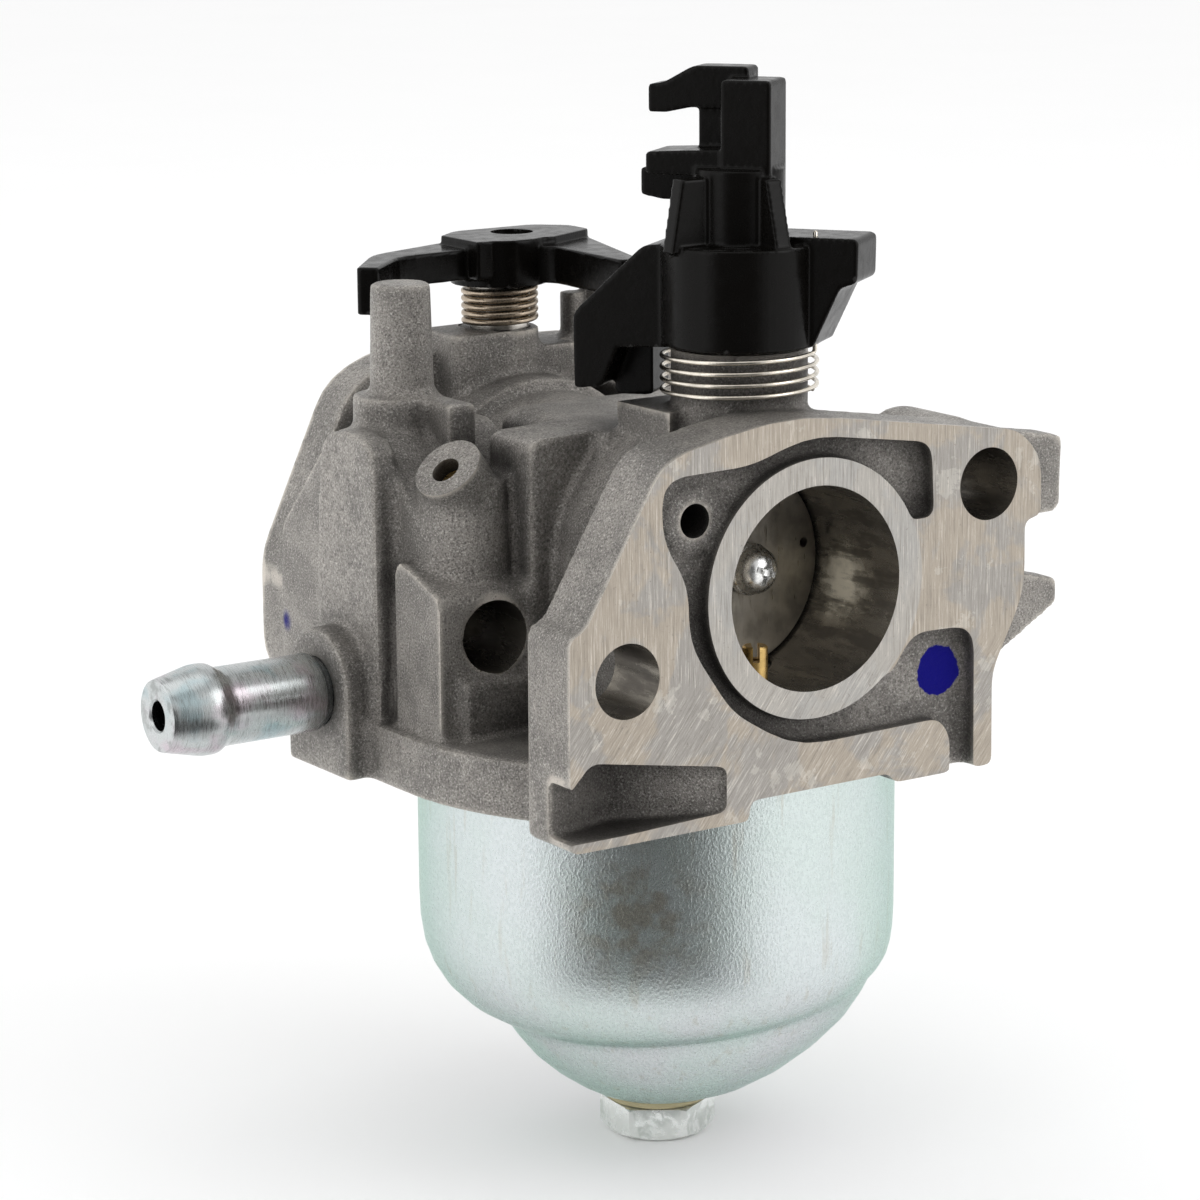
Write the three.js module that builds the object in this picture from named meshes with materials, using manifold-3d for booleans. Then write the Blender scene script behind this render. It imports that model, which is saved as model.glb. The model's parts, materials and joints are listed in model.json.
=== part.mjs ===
// Float-bowl carburetor for a small engine, modelled as an assembly of separate pieces.
// Units are millimetres, +Z is up.  Air flows along +Y: the air-cleaner flange faces -Y and the
// engine flange faces +Y.  Inside the assembly group z = 0 is the axis of the main bore; the group
// is lifted so that the foot of the bowl bolt stands at z = 0 in the finished part.

import * as THREE from 'three';
import { mergeVertices } from 'three/addons/utils/BufferGeometryUtils.js';
import Module from 'manifold-3d';

const wasm = await Module();
wasm.setup();

// ---------------------------------------------------------------------------------------------
// Driving dimensions
// ---------------------------------------------------------------------------------------------

const BORE_HEIGHT = 60.3; // bore axis above the foot of the bowl bolt

const FRONT_FACE_Y = -26.3; // machined face of the air-cleaner flange
const FRONT_FLANGE_BACK_Y = -19.1;
const REAR_FACE_Y = 33.5; // machined face of the engine flange
const REAR_FLANGE_FRONT_Y = 28.4;

const INLET_R = 9.7; // bore at the choke plate
const VENTURI_R = 6.6;
const THROTTLE_BORE_R = 7.6;
const INLET_RING_R = 12.3; // machined ring around the inlet
const RECESS_DEPTH = 1.8;

const LEFT_STUD = [-21.2, -5.8]; // across and up from the bore axis
const RIGHT_STUD = [20.4, 7.6];
const STUD_HOLE_R = 3.5;

const CHOKE_Y = -14.1; // vertical choke shaft
const CHOKE_BOSS_R = 6.45;
const CHOKE_BOSS_TOP = 21.2;
const SEAL_SEAT_Z = CHOKE_BOSS_TOP - 1.2;
const THROTTLE_Y = 27.8; // vertical throttle shaft
const THROTTLE_BOSS_TOP = 18;
const SHAFT_R = 3;
const SHAFT_CLEARANCE = 0.1;
const CHOKE_AJAR = THREE.MathUtils.degToRad(8); // the choke rests this far off closed

const PILOT_JET = [4.4, 7.6];
const BLEED_JET = [-4.2, -22.4]; // stands up from the floor of the inlet

const INLET_PIPE_Y = 12.9; // fuel inlet and needle valve
const INLET_PIPE_Z = -13.1;
const INLET_PIPE_END_X = -48.4;
const INLET_BOSS_FACE_X = -31.1;
const HINGE_Y = 19; // float hinge pin
const HINGE_Z = -22.5;

const BOWL_R = 23.66;
const BOWL_WALL = 0.9;
const BOWL_TOP = -19.4;
const BOWL_FOOT = -55.8; // outside of the bowl's bottom, around the bolt hole
const DECK_TOP = -15.3; // cast rim that carries the bowl
const DECK_BOTTOM = -21;
const DECK_R = 28.7;
const BOLT_R = 3; // M6
const BOLT_HEX_FLATS = 10;
const BOLT_HEX_TURN = 26; // degrees, as the bolt happens to be tightened

const ROUND = 40; // segments of a large circle
const SMALL = 20; // segments of a small circle

// ---------------------------------------------------------------------------------------------
// Materials
// ---------------------------------------------------------------------------------------------

const finish = (color, roughness, metalness) =>
  new THREE.MeshStandardMaterial({ color, roughness, metalness });

const CAST = finish(0x8d8781, 0.55, 0.7);
const ZINC = finish(0xb9c6c6, 0.3, 0.9);
const BRASS = finish(0xb08d4a, 0.35, 0.9);
const STEEL = finish(0xb5b1a8, 0.3, 1);
const BLACK_PLASTIC = finish(0x1c1b1a, 0.4, 0);
const RUBBER = finish(0x202020, 0.8, 0);
const WHITE_PLASTIC = finish(0xd9d4c4, 0.5, 0);

// ---------------------------------------------------------------------------------------------
// Solids: every shape is a manifold, so shapes can be joined and cut
// ---------------------------------------------------------------------------------------------

function solid(geometry) {
  const bare = geometry.index ? geometry.toNonIndexed() : geometry.clone();
  bare.deleteAttribute('normal');
  bare.deleteAttribute('uv');
  const merged = mergeVertices(bare, 1e-4);
  return new wasm.Manifold(new wasm.Mesh({
    numProp: 3,
    vertProperties: new Float32Array(merged.attributes.position.array),
    triVerts: new Uint32Array(merged.index.array),
  }));
}

function geometryOf(manifold) {
  const mesh = manifold.getMesh();
  const geometry = new THREE.BufferGeometry();
  geometry.setAttribute('position', new THREE.BufferAttribute(mesh.vertProperties, 3));
  geometry.setIndex(new THREE.BufferAttribute(mesh.triVerts, 1));
  geometry.computeVertexNormals();
  return geometry;
}

const join = (first, ...rest) => rest.reduce((sum, next) => sum.add(next), first);
const cut = (first, ...rest) => rest.reduce((left, next) => left.subtract(next), first);

function piece(name, manifold, material) {
  const mesh = new THREE.Mesh(geometryOf(manifold), material);
  mesh.name = name;
  return mesh;
}

function box(x0, x1, y0, y1, z0, z1) {
  const geometry = new THREE.BoxGeometry(x1 - x0, y1 - y0, z1 - z0);
  geometry.translate((x0 + x1) / 2, (y0 + y1) / 2, (z0 + z1) / 2);
  return solid(geometry);
}

// Round bars along each axis.  The second radius, when given, is the one at the far end.
function barZ(x, y, radius, z0, z1, segments = SMALL, topRadius = radius) {
  const geometry = new THREE.CylinderGeometry(topRadius, radius, z1 - z0, segments);
  geometry.rotateX(Math.PI / 2);
  geometry.translate(x, y, (z0 + z1) / 2);
  return solid(geometry);
}

function barY(x, z, radius, y0, y1, segments = SMALL) {
  const geometry = new THREE.CylinderGeometry(radius, radius, y1 - y0, segments);
  geometry.translate(x, (y0 + y1) / 2, z);
  return solid(geometry);
}

function barX(y, z, radius, x0, x1, segments = SMALL) {
  const geometry = new THREE.CylinderGeometry(radius, radius, x1 - x0, segments);
  geometry.rotateZ(Math.PI / 2);
  geometry.translate((x0 + x1) / 2, y, z);
  return solid(geometry);
}

// An outline whose corners are [across, up, rounding].  A rounding never eats more than 45% of a side.
function roundedShape(corners) {
  const shape = new THREE.Shape();
  const count = corners.length;
  corners.forEach(([x, y, wanted = 0], i) => {
    const corner = new THREE.Vector2(x, y);
    const before = new THREE.Vector2(...corners[(i + count - 1) % count].slice(0, 2));
    const after = new THREE.Vector2(...corners[(i + 1) % count].slice(0, 2));
    const shorter = Math.min(before.distanceTo(corner), after.distanceTo(corner));
    const rounding = Math.min(wanted, 0.45 * shorter);
    const enter = before.sub(corner).setLength(rounding).add(corner);
    const leave = after.sub(corner).setLength(rounding).add(corner);
    if (i === 0) shape.moveTo(enter.x, enter.y);
    else shape.lineTo(enter.x, enter.y);
    if (rounding > 0) shape.quadraticCurveTo(x, y, leave.x, leave.y);
  });
  shape.closePath();
  return shape;
}

function extruded(shape, depth, curveSegments = 3) {
  return new THREE.ExtrudeGeometry(shape, { depth, bevelEnabled: false, curveSegments });
}

// Outline in X and Z, pushed along Y.
function plateY(corners, y0, y1) {
  const geometry = extruded(roundedShape(corners), y1 - y0);
  geometry.rotateX(Math.PI / 2);
  geometry.translate(0, y1, 0);
  return solid(geometry);
}

// Outline in X and Y, pushed along Z.
function plateZ(corners, z0, z1) {
  const geometry = extruded(roundedShape(corners), z1 - z0);
  geometry.translate(0, 0, z0);
  return solid(geometry);
}

// Outline in Y and Z, pushed along X.
function plateX(corners, x0, x1) {
  const geometry = extruded(roundedShape(corners), x1 - x0);
  geometry.rotateX(Math.PI / 2);
  geometry.rotateZ(Math.PI / 2);
  geometry.translate(x0, 0, 0);
  return solid(geometry);
}

// Profile of [radius, height] turned about the Z axis.
function turned(profile, segments = ROUND) {
  const points = profile.map(([radius, height]) => new THREE.Vector2(radius, height));
  const geometry = new THREE.LatheGeometry(points, segments);
  geometry.rotateX(Math.PI / 2);
  return solid(geometry);
}

const closedLoop = (profile) => [...profile, profile[0]];

function tube(points, radius, stepsPerPoint, sides) {
  const section = new THREE.Shape();
  section.absarc(0, 0, radius, 0, 2 * Math.PI);
  const path = new THREE.CatmullRomCurve3(points);
  return solid(new THREE.ExtrudeGeometry(section, {
    steps: Math.round(points.length * stepsPerPoint),
    extrudePath: path,
    curveSegments: sides,
    bevelEnabled: false,
  }));
}

// ---------------------------------------------------------------------------------------------
// Body casting
// ---------------------------------------------------------------------------------------------

function frontFlange() {
  return plateY([
    [-27.5, -21, 0.8], [-27.4, -1.2, 1], [-25.7, -0.6, 1], [-17, 13.9, 2.4], [-3.5, 16.7, 8],
    [24.2, 12.4, 3], [26.8, 9.4, 1.5], [26.9, 3.9, 0.6], [24.9, 3.5, 0.5], [25, -3.4, 2.5],
    [21.1, -10.8, 1.5], [21.2, -20, 0.6], [9.4, -20, 0.4], [8.7, -19, 0.4], [-7.5, -19.1, 0.4],
    [-7.7, -21, 0.4],
  ], FRONT_FACE_Y, FRONT_FLANGE_BACK_Y);
}

// The cast floor that leaves the inlet ring standing, open at the bottom right.
function faceRecess() {
  const outline = plateY([
    [0, 0], [11, 5.2, 0.4], [13.8, 5.2, 1], [13.4, 12.4, 1.6], [-0.8, 14.5, 6],
    [-7.5, 12.4, 2], [-17.4, 12.2, 2.8], [-17.3, 6.6, 2], [-14.5, 2.1, 2], [-14.4, -3.4, 2.5],
    [-9.6, -10.4, 2], [-2.4, -14.8, 4], [14.6, -14.5, 1.2], [16, -16.4, 1], [16, -22],
    [19, -22], [18.8, -5.9, 2.4], [11.4, -5.7, 1.6], [8.4, -9.9, 1.6],
  ], FRONT_FACE_Y - 1, FRONT_FACE_Y + RECESS_DEPTH);
  return outline.subtract(barY(0, 0, INLET_RING_R, FRONT_FACE_Y - 2, 0, ROUND));
}

// Wedge-shaped pocket in the lower left of the flange; its left end runs out through the side.
function facePocket() {
  const opening = plateY([
    [-30, -20.1], [-30, -17.6], [-27.5, -15.2], [-25.2, -12.8, 0.8], [-10.2, -15.4, 0.3],
    [-10.2, -19.7], [-21.8, -20.1],
  ], FRONT_FACE_Y - 1, FRONT_FLANGE_BACK_Y);
  const wedge = plateZ([
    [-10.2, FRONT_FACE_Y - 1], [-10.2, FRONT_FACE_Y + 0.4], [-20.4, -21, 0.5], [-27.5, -22.8],
    [-30, -23.4], [-30, FRONT_FACE_Y - 1],
  ], -21, -12);
  return opening.intersect(wedge);
}

function bowlDeck() {
  const rim = barZ(0, 0, DECK_R, DECK_BOTTOM, DECK_TOP, ROUND);
  const frontTrim = box(-40, 40, -40, FRONT_FLANGE_BACK_Y - 0.5, -30, 0);
  const rear = plateZ([
    [-28.7, 0, 0], [-28.7, 16, 4], [-24.6, 29, 1], [22, 29, 1], [26, 14, 4], [26, 0, 0],
  ], DECK_BOTTOM, DECK_TOP);
  return join(cut(rim, frontTrim), rear);
}

// Round neck behind the inlet, with a square shoulder behind it and a flat-sided saddle on which
// the choke boss stands.
function neck() {
  return join(
    barY(0, 0, 14.8, FRONT_FLANGE_BACK_Y - 0.5, -4.5, ROUND),
    box(-14.8, 14.8, FRONT_FLANGE_BACK_Y - 0.5, -4.5, -19, 0),
    plateY([
      [-17.3, -19], [-17.3, 12.5, 1.2], [-8, 12.9, 1], [10.4, 12.9, 2.4], [15, 6], [15, -19],
    ], -4.5, 3),
    box(-8, 6.4, CHOKE_Y, -5.3, 8, 15.6),
  );
}

function barrel() {
  return join(
    barY(0, 0, 12.4, -6, 21, ROUND),
    barY(0, 0, 13.6, 20, REAR_FLANGE_FRONT_Y + 0.5, ROUND),
    box(-12.4, 12.4, -6, REAR_FLANGE_FRONT_Y + 0.5, -19, 0),
    plateY([[-11, 0], [-10.4, 12.9, 2.4], [10.4, 12.9, 2.4], [11, 0]], -6, 11.5),
  );
}

function leftWall() {
  const wall = plateX([
    [1, -18], [1, 3, 1], [10, 12.6, 3], [18, 11.6, 3], [29, 0, 1], [29, -18],
  ], -25.6, -12);
  const pad = plateX([
    [6, -18], [6.4, 12.2, 3.4], [16.6, 12.2, 4], [17.6, -1, 2], [17.6, -18],
  ], -28.1, -25.4);
  return join(wall, pad);
}

// Round column that the left stud passes, with a slanted top for the mixture screw.
const SLANT_CENTRE = new THREE.Vector3(-23.7, 0.3, 9.8);
const SLANT_NORMAL = new THREE.Vector3(-0.64, -0.18, 0.75).normalize();

// Moves a shape that stands along +Y onto the slanted face.
function slanted(geometry) {
  const up = new THREE.Vector3(0, 1, 0);
  geometry.applyQuaternion(new THREE.Quaternion().setFromUnitVectors(up, SLANT_NORMAL));
  geometry.translate(...SLANT_CENTRE);
  return geometry;
}

function slantedBar(radius, from, to, segments = SMALL) {
  const geometry = new THREE.CylinderGeometry(radius, radius, to - from, segments);
  geometry.translate(0, (from + to) / 2, 0);
  return solid(slanted(geometry));
}

function screwColumn() {
  const column = join(
    barZ(-20.8, 2, 6.8, -19, -2.5, SMALL, 6.2),
    barZ(-20.8, 2, 5.9, -19, 8.6, SMALL, 4.4),
    slantedBar(3.4, -9, 0).translate([0.2, 0, 0.17]),
  );
  const studPad = plateX([[-4.2, -18], [-4.2, -1.5, 1], [4, 1.5, 2.5], [4, -18]], -27.4, -15);
  const ledge = plateX([[-5.3, -18], [-5.3, -9.5, 0.6], [0, -9.5], [0, -18]], -25.3, -15);
  return join(cut(column, slantedBar(9, 0, 14)), studPad, ledge);
}

function postBoss() {
  return join(
    barZ(-20.8, 14, 4.2, -18, 15),
    barZ(-20.1, 14, 3.15, 14, 25.7, SMALL, 2.9),
    box(-20, -16.9, 5.5, 14, -10, 14.8),
  );
}

// Shaft boss with a flat fin on its left, a low block on its right and the two stop posts.
function throttleTower() {
  return join(
    barZ(0, THROTTLE_Y, 3.9, 8, THROTTLE_BOSS_TOP, SMALL),
    plateZ([[-7.4, 24.4, 1.5], [0, 23.9, 0.5], [0, 32, 0.5], [-7.4, 32, 1]], 8, THROTTLE_BOSS_TOP),
    box(1.5, 7.6, 25, 30, 8, 16.1),
    barZ(13.6, 29.6, 2, 6, 22.9),
    barZ(10.1, 29.6, 1.25, 6, 20.5),
  );
}

function rightWall() {
  const wall = plateX([[-19.3, -18], [-19.3, -2, 1], [29, -2, 1], [29, -18]], 13, 23);
  const frontLug = barY(...RIGHT_STUD, 5.6, FRONT_FLANGE_BACK_Y - 0.5, -12);
  const rearLug = barY(...RIGHT_STUD, 5.6, 20, REAR_FLANGE_FRONT_Y + 0.4);
  return join(wall, frontLug, rearLug, box(10, RIGHT_STUD[0], 20, 29, -4, 12));
}

function rightLugs() {
  const upper = plateY([[22, 3.2], [31.2, 3.4, 0.8], [31.6, 10.8, 1], [22, 12.3, 1]], -24, -20.2);
  const lower = plateY([
    [20, -2.4], [26.5, -2.3], [31.5, -3.4, 0.8], [31.5, -5.8, 0.6], [20, -12.4],
  ], -23.6, -20.4);
  return join(upper, lower);
}

function rearFlange() {
  return plateY([
    [-25.4, -14.5, 2.6], [-25.4, -3.6, 2], [-17.6, 13.2, 2.6], [-12, 16, 4], [12, 16, 4],
    [23, 14.2, 4], [25.4, 10, 3], [25.4, 3.6, 2], [17.6, -13.2, 2.6], [16, -18.4, 2],
    [-22, -18.4, 3],
  ], REAR_FLANGE_FRONT_Y, REAR_FACE_Y);
}

// Everything of the casting that hangs into the bowl.
function undersideBosses() {
  return join(
    barZ(0, 0, 5.2, -49.5, -12, SMALL), // jet column, carries the bowl bolt
    barZ(...PILOT_JET, 2.6, -31, -15.5), // pilot jet tower
    barZ(0, INLET_PIPE_Y, 3.9, -23.8, -15), // needle seat
    ...[-1, 1].map((side) => cut(
      box(side * 7 - 1.2, side * 7 + 1.2, HINGE_Y - 1.6, HINGE_Y + 1.6, HINGE_Z - 1.9, -15.5),
      barX(HINGE_Y, HINGE_Z, 0.85, -10, 10, 16),
    )),
  );
}

function boreHollow() {
  return turned([
    [0, FRONT_FACE_Y - 1], [INLET_R, FRONT_FACE_Y - 1], [INLET_R, -6], [VENTURI_R, 3],
    [VENTURI_R, 7], [THROTTLE_BORE_R, 15], [THROTTLE_BORE_R, REAR_FACE_Y + 1], [0, REAR_FACE_Y + 1],
  ], ROUND).rotate([-90, 0, 0]);
}

function studHoles() {
  const left = barY(...LEFT_STUD, STUD_HOLE_R, FRONT_FACE_Y - 1, REAR_FACE_Y + 1);
  const right = barY(...RIGHT_STUD, STUD_HOLE_R, FRONT_FACE_Y - 1, REAR_FACE_Y + 1);
  return left.add(right);
}

function bodyCasting() {
  const blank = join(
    frontFlange(), bowlDeck(), neck(), barrel(), leftWall(), screwColumn(), postBoss(),
    throttleTower(), rightWall(), rightLugs(), rearFlange(),
    barZ(0, CHOKE_Y, CHOKE_BOSS_R, 6, CHOKE_BOSS_TOP, 32),
    barX(INLET_PIPE_Y, INLET_PIPE_Z + 0.4, 5.8, INLET_BOSS_FACE_X, -20),
    box(INLET_BOSS_FACE_X, -22, INLET_PIPE_Y - 5.8, INLET_PIPE_Y + 5.8, DECK_BOTTOM, INLET_PIPE_Z),
  );
  const bowlSeat = barZ(0, 0, BOWL_R + 0.35, -40, BOWL_TOP + 1.4, ROUND);
  const shaftHole = SHAFT_R + SHAFT_CLEARANCE;
  const shell = cut(
    blank, bowlSeat,
    barZ(0, 0, 20, -20, -17, ROUND),
    box(-9, 9, 9, 21, -20, -17.4),
  ).add(undersideBosses());
  return cut(
    shell, boreHollow(), faceRecess(), facePocket(), studHoles(),
    barZ(0, CHOKE_Y, shaftHole, -12.5, 30, 32),
    barZ(0, CHOKE_Y, 5, SEAL_SEAT_Z, 30, 32),
    barZ(0, THROTTLE_Y, shaftHole, -12.5, 30, 32),
    barX(INLET_PIPE_Y, INLET_PIPE_Z, 3.5, -40, -22), // pressed end of the inlet pipe
    barX(INLET_PIPE_Y, INLET_PIPE_Z, 1.4, -40, 1, 12), // drilled fuel passage
    barZ(0, INLET_PIPE_Y, 1.2, -18, INLET_PIPE_Z, 12),
    barZ(0, INLET_PIPE_Y, 3, -30, -15.6), // needle seat pocket
    barZ(...PILOT_JET, 1.6, -40, -24), // pilot jet bore
    barZ(...PILOT_JET, 0.6, -40, -8, 8),
    barZ(0, 0, BOLT_R + 0.15, -60, -43), // bowl bolt thread
    barZ(0, 0, 2.5, -60, -38), // main jet seat
    barZ(0, 0, 2.1, -60, 0), // nozzle bore
    slantedBar(1.5, -8, 4, 16), // mixture screw
    barY(-12.8, 7.7, 1.6, FRONT_FACE_Y, -20.6, 16), // air bleed in the recess
    barZ(...BLEED_JET, 1.3, -12.6, -8, 16), // air bleed jet
  );
}

// ---------------------------------------------------------------------------------------------
// Fuel side
// ---------------------------------------------------------------------------------------------

function fuelInletPipe() {
  const end = INLET_PIPE_END_X;
  const bore = 1.4;
  const profile = closedLoop([
    [bore, end + 0.2], [bore + 0.2, end], [3.4, end], [3.6, end + 0.3], [4.4, end + 4],
    [4.4, end + 5.4], [3.85, end + 6.3], [3.85, INLET_BOSS_FACE_X - 0.8],
    [3.3, INLET_BOSS_FACE_X - 0.3], [3.3, -22.3], [bore, -22.3],
  ]);
  const geometry = new THREE.LatheGeometry(profile.map(([r, x]) => new THREE.Vector2(r, x)), 24);
  geometry.rotateZ(-Math.PI / 2);
  geometry.translate(0, INLET_PIPE_Y, INLET_PIPE_Z);
  return solid(geometry);
}

// The bowl's sump leans to the right, and comes back to the centre at the bolt.
const BOWL_PROFILE = [ // outside radius, height, sump offset
  [BOWL_R, BOWL_TOP, 0], [BOWL_R, -35, 0], [23.4, -38.4, 0.1], [22.9, -40.7, 0.3], [22, -42.4, 0.5],
  [19.4, -45, 1.3], [16.6, -46.9, 3.3], [15.2, -48.6, 3.1], [13.1, -50.5, 2.3], [10.8, -52.6, 1.5],
  [7.4, -54.6, 0.3], [5.4, BOWL_FOOT, 0],
];

function leanSump(geometry) {
  const position = geometry.attributes.position;
  for (let i = 0; i < position.count; i += 1) {
    const z = position.getZ(i);
    const below = BOWL_PROFILE.findIndex(([, height]) => height <= z);
    if (below > 0) {
      const [, z1, lean1] = BOWL_PROFILE[below];
      const [, z0, lean0] = BOWL_PROFILE[below - 1];
      position.setX(i, position.getX(i) + lean0 + ((lean1 - lean0) * (z - z0)) / (z1 - z0));
    }
  }
}

function floatBowl() {
  const outside = BOWL_PROFILE.map(([radius, height]) => [radius, height]);
  const boltHole = BOLT_R + 0.7;
  const inside = outside.slice(0, -1).map(([radius, height]) => (
    [radius - BOWL_WALL, height > -40 ? height : height + BOWL_WALL * 0.8]
  ));
  const profile = closedLoop([
    ...inside, [5, BOWL_FOOT + BOWL_WALL], [boltHole, BOWL_FOOT + BOWL_WALL], [boltHole, BOWL_FOOT],
    ...outside.reverse(),
  ]);
  const points = profile.map(([radius, height]) => new THREE.Vector2(radius, height));
  const geometry = new THREE.LatheGeometry(points, ROUND);
  geometry.rotateX(Math.PI / 2);
  leanSump(geometry);
  return solid(geometry);
}

function ring(outer, inner, z0, z1, x = 0, y = 0, segments = ROUND) {
  return cut(barZ(x, y, outer, z0, z1, segments), barZ(x, y, inner, z0 - 1, z1 + 1, segments));
}

function bowlBolt() {
  const hexR = BOLT_HEX_FLATS / Math.sqrt(3);
  const foot = -BORE_HEIGHT;
  const head = barZ(0, 0, hexR, foot, -56.9, 6).rotate([0, 0, BOLT_HEX_TURN]);
  return join(head, barZ(0, 0, BOLT_R, -57, -44, SMALL));
}

function mainNozzle() {
  const tubeBody = ring(1.8, 0.9, -37, -6, 0, 0, 20);
  const airHoles = [-28, -24, -20].map((z) => barX(0, z, 0.35, -4, 4, 8));
  return cut(tubeBody, ...airHoles);
}

function mainJet() {
  return cut(ring(2.3, 0.5, -42.6, -38.3, 0, 0, 20), box(-3, 3, -0.35, 0.35, -43, -41.8));
}

function pilotJet() {
  const [x, y] = PILOT_JET;
  return cut(
    ring(1.45, 0.35, -31.6, -24.5, x, y, 16),
    box(x - 3, x + 3, y - 0.3, y + 0.3, -32, -30.9),
  );
}

function needleSeat() {
  const profile = closedLoop([
    [0.9, -16.4], [1.75, -17], [1.75, -23.5], [2.8, -23.5], [2.8, -15.8], [0.9, -15.8],
  ]);
  const points = profile.map(([radius, height]) => new THREE.Vector2(radius, height));
  const geometry = new THREE.LatheGeometry(points, SMALL);
  geometry.rotateX(Math.PI / 2);
  geometry.translate(0, INLET_PIPE_Y, 0);
  return solid(geometry);
}

function inletNeedle() {
  return join(
    barZ(0, INLET_PIPE_Y, 1.45, -24.3, -18.2, 12),
    barZ(0, INLET_PIPE_Y, 1.45, -18.4, -16.9, 12, 0.5),
    barZ(0, INLET_PIPE_Y, 0.8, -24.9, -24, 12),
  );
}

// Horseshoe float with its arms and the tongue that lifts the needle.
function floatBody() {
  const horseshoe = cut(
    barZ(0, 0, 19.2, -34.5, -25.4, ROUND),
    barZ(0, 0, 7.6, -40, -20, 32),
    box(-7.6, 7.6, 0, 25, -40, -20),
    box(-25, 25, 14.5, 25, -40, -20),
  );
  return join(
    horseshoe,
    box(-10, 10, 13.8, HINGE_Y - 0.6, -27.6, -26.2),
    box(-2.2, 2.2, 10.8, 17, -26.4, -25.1),
    cut(barX(HINGE_Y, HINGE_Z, 1.8, -5.4, 5.4, 20), barX(HINGE_Y, HINGE_Z, 0.85, -8, 8, 16)),
    box(-5.4, 5.4, HINGE_Y - 1.8, HINGE_Y - 0.9, -27, HINGE_Z),
  );
}

const hingePin = () => barX(HINGE_Y, HINGE_Z, 0.75, -8.8, 8.8, 16);

function mixtureScrew() {
  const body = join(slantedBar(1.3, -7.6, -1.6, 16), slantedBar(0.8, -8, -7, 12));
  const slot = new THREE.BoxGeometry(0.5, 1, 4);
  slot.translate(0, -1.6, 0);
  return body.subtract(solid(slanted(slot)));
}

// Slotted brass jet that stands up from the floor of the inlet.
function airBleedJet() {
  const [x, y] = BLEED_JET;
  const top = -5.5;
  return cut(
    join(barZ(x, y, 1.2, -9.5, top, 16), barZ(x, y, 1, -12, -9, 16)),
    box(x - 2, x + 2, y - 0.3, y + 0.3, top - 1.1, top + 1),
  );
}

// ---------------------------------------------------------------------------------------------
// Shafts, butterflies and levers
// ---------------------------------------------------------------------------------------------

const at = (manifold, y, angle = 0) => manifold.rotate([0, 0, THREE.MathUtils.radToDeg(angle)])
  .translate([0, y, 0]);

// A shaft about its own axis: the half in front of the plate is milled away inside the bore.
function shaft(boreR, top) {
  const rod = barZ(0, 0, SHAFT_R, -12.2, top, 32);
  const flat = box(-5, 5, -5, 0, -boreR + 0.2, boreR - 0.2);
  return cut(rod, flat, barY(0, 0, 0.9, -5, 5, 12));
}

function butterfly(boreR) {
  const disc = barY(0, 0, boreR - 0.25, -0.9, -0.1, ROUND);
  const ventAcross = boreR - 2;
  return cut(disc, barY(0, 0, 1.1, -5, 5, 16), barY(ventAcross, 1.4, 0.5, -5, 5, 12));
}

function plateScrew() {
  const head = turned([
    [0, -3.9], [1.3, -3.7], [2.1, -3.1], [2.45, -2.2], [2.5, -1.1], [0, -1.1],
  ], SMALL).rotate([-90, 0, 0]);
  const cross = join(box(-1.2, 1.2, -5, -3, -0.3, 0.3), box(-0.3, 0.3, -5, -3, -1.2, 1.2));
  return join(cut(head, cross), barY(0, 0, 0.8, -1.3, 2.6, 12));
}

// Lever profiles lie in a vertical plane through the shaft; u runs to the viewer's left.
const LEVER_TURN = THREE.MathUtils.degToRad(-54);

function leverPlate(corners, v0, v1) {
  return plateY(corners.map(([u, z, rounding]) => [-u, z, rounding]), v0, v1);
}

// A rib that stands on the collar and leans in towards the core; turn 0 points along +X.
function collarRib(turn, footReach, topReach) {
  const rib = plateY([
    [2, 30.5], [footReach, 30.5], [topReach, 37.3, 0.2], [2, 37.3],
  ], -0.85, 0.85);
  return rib.rotate([0, 0, turn - THREE.MathUtils.radToDeg(LEVER_TURN)]);
}

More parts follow.
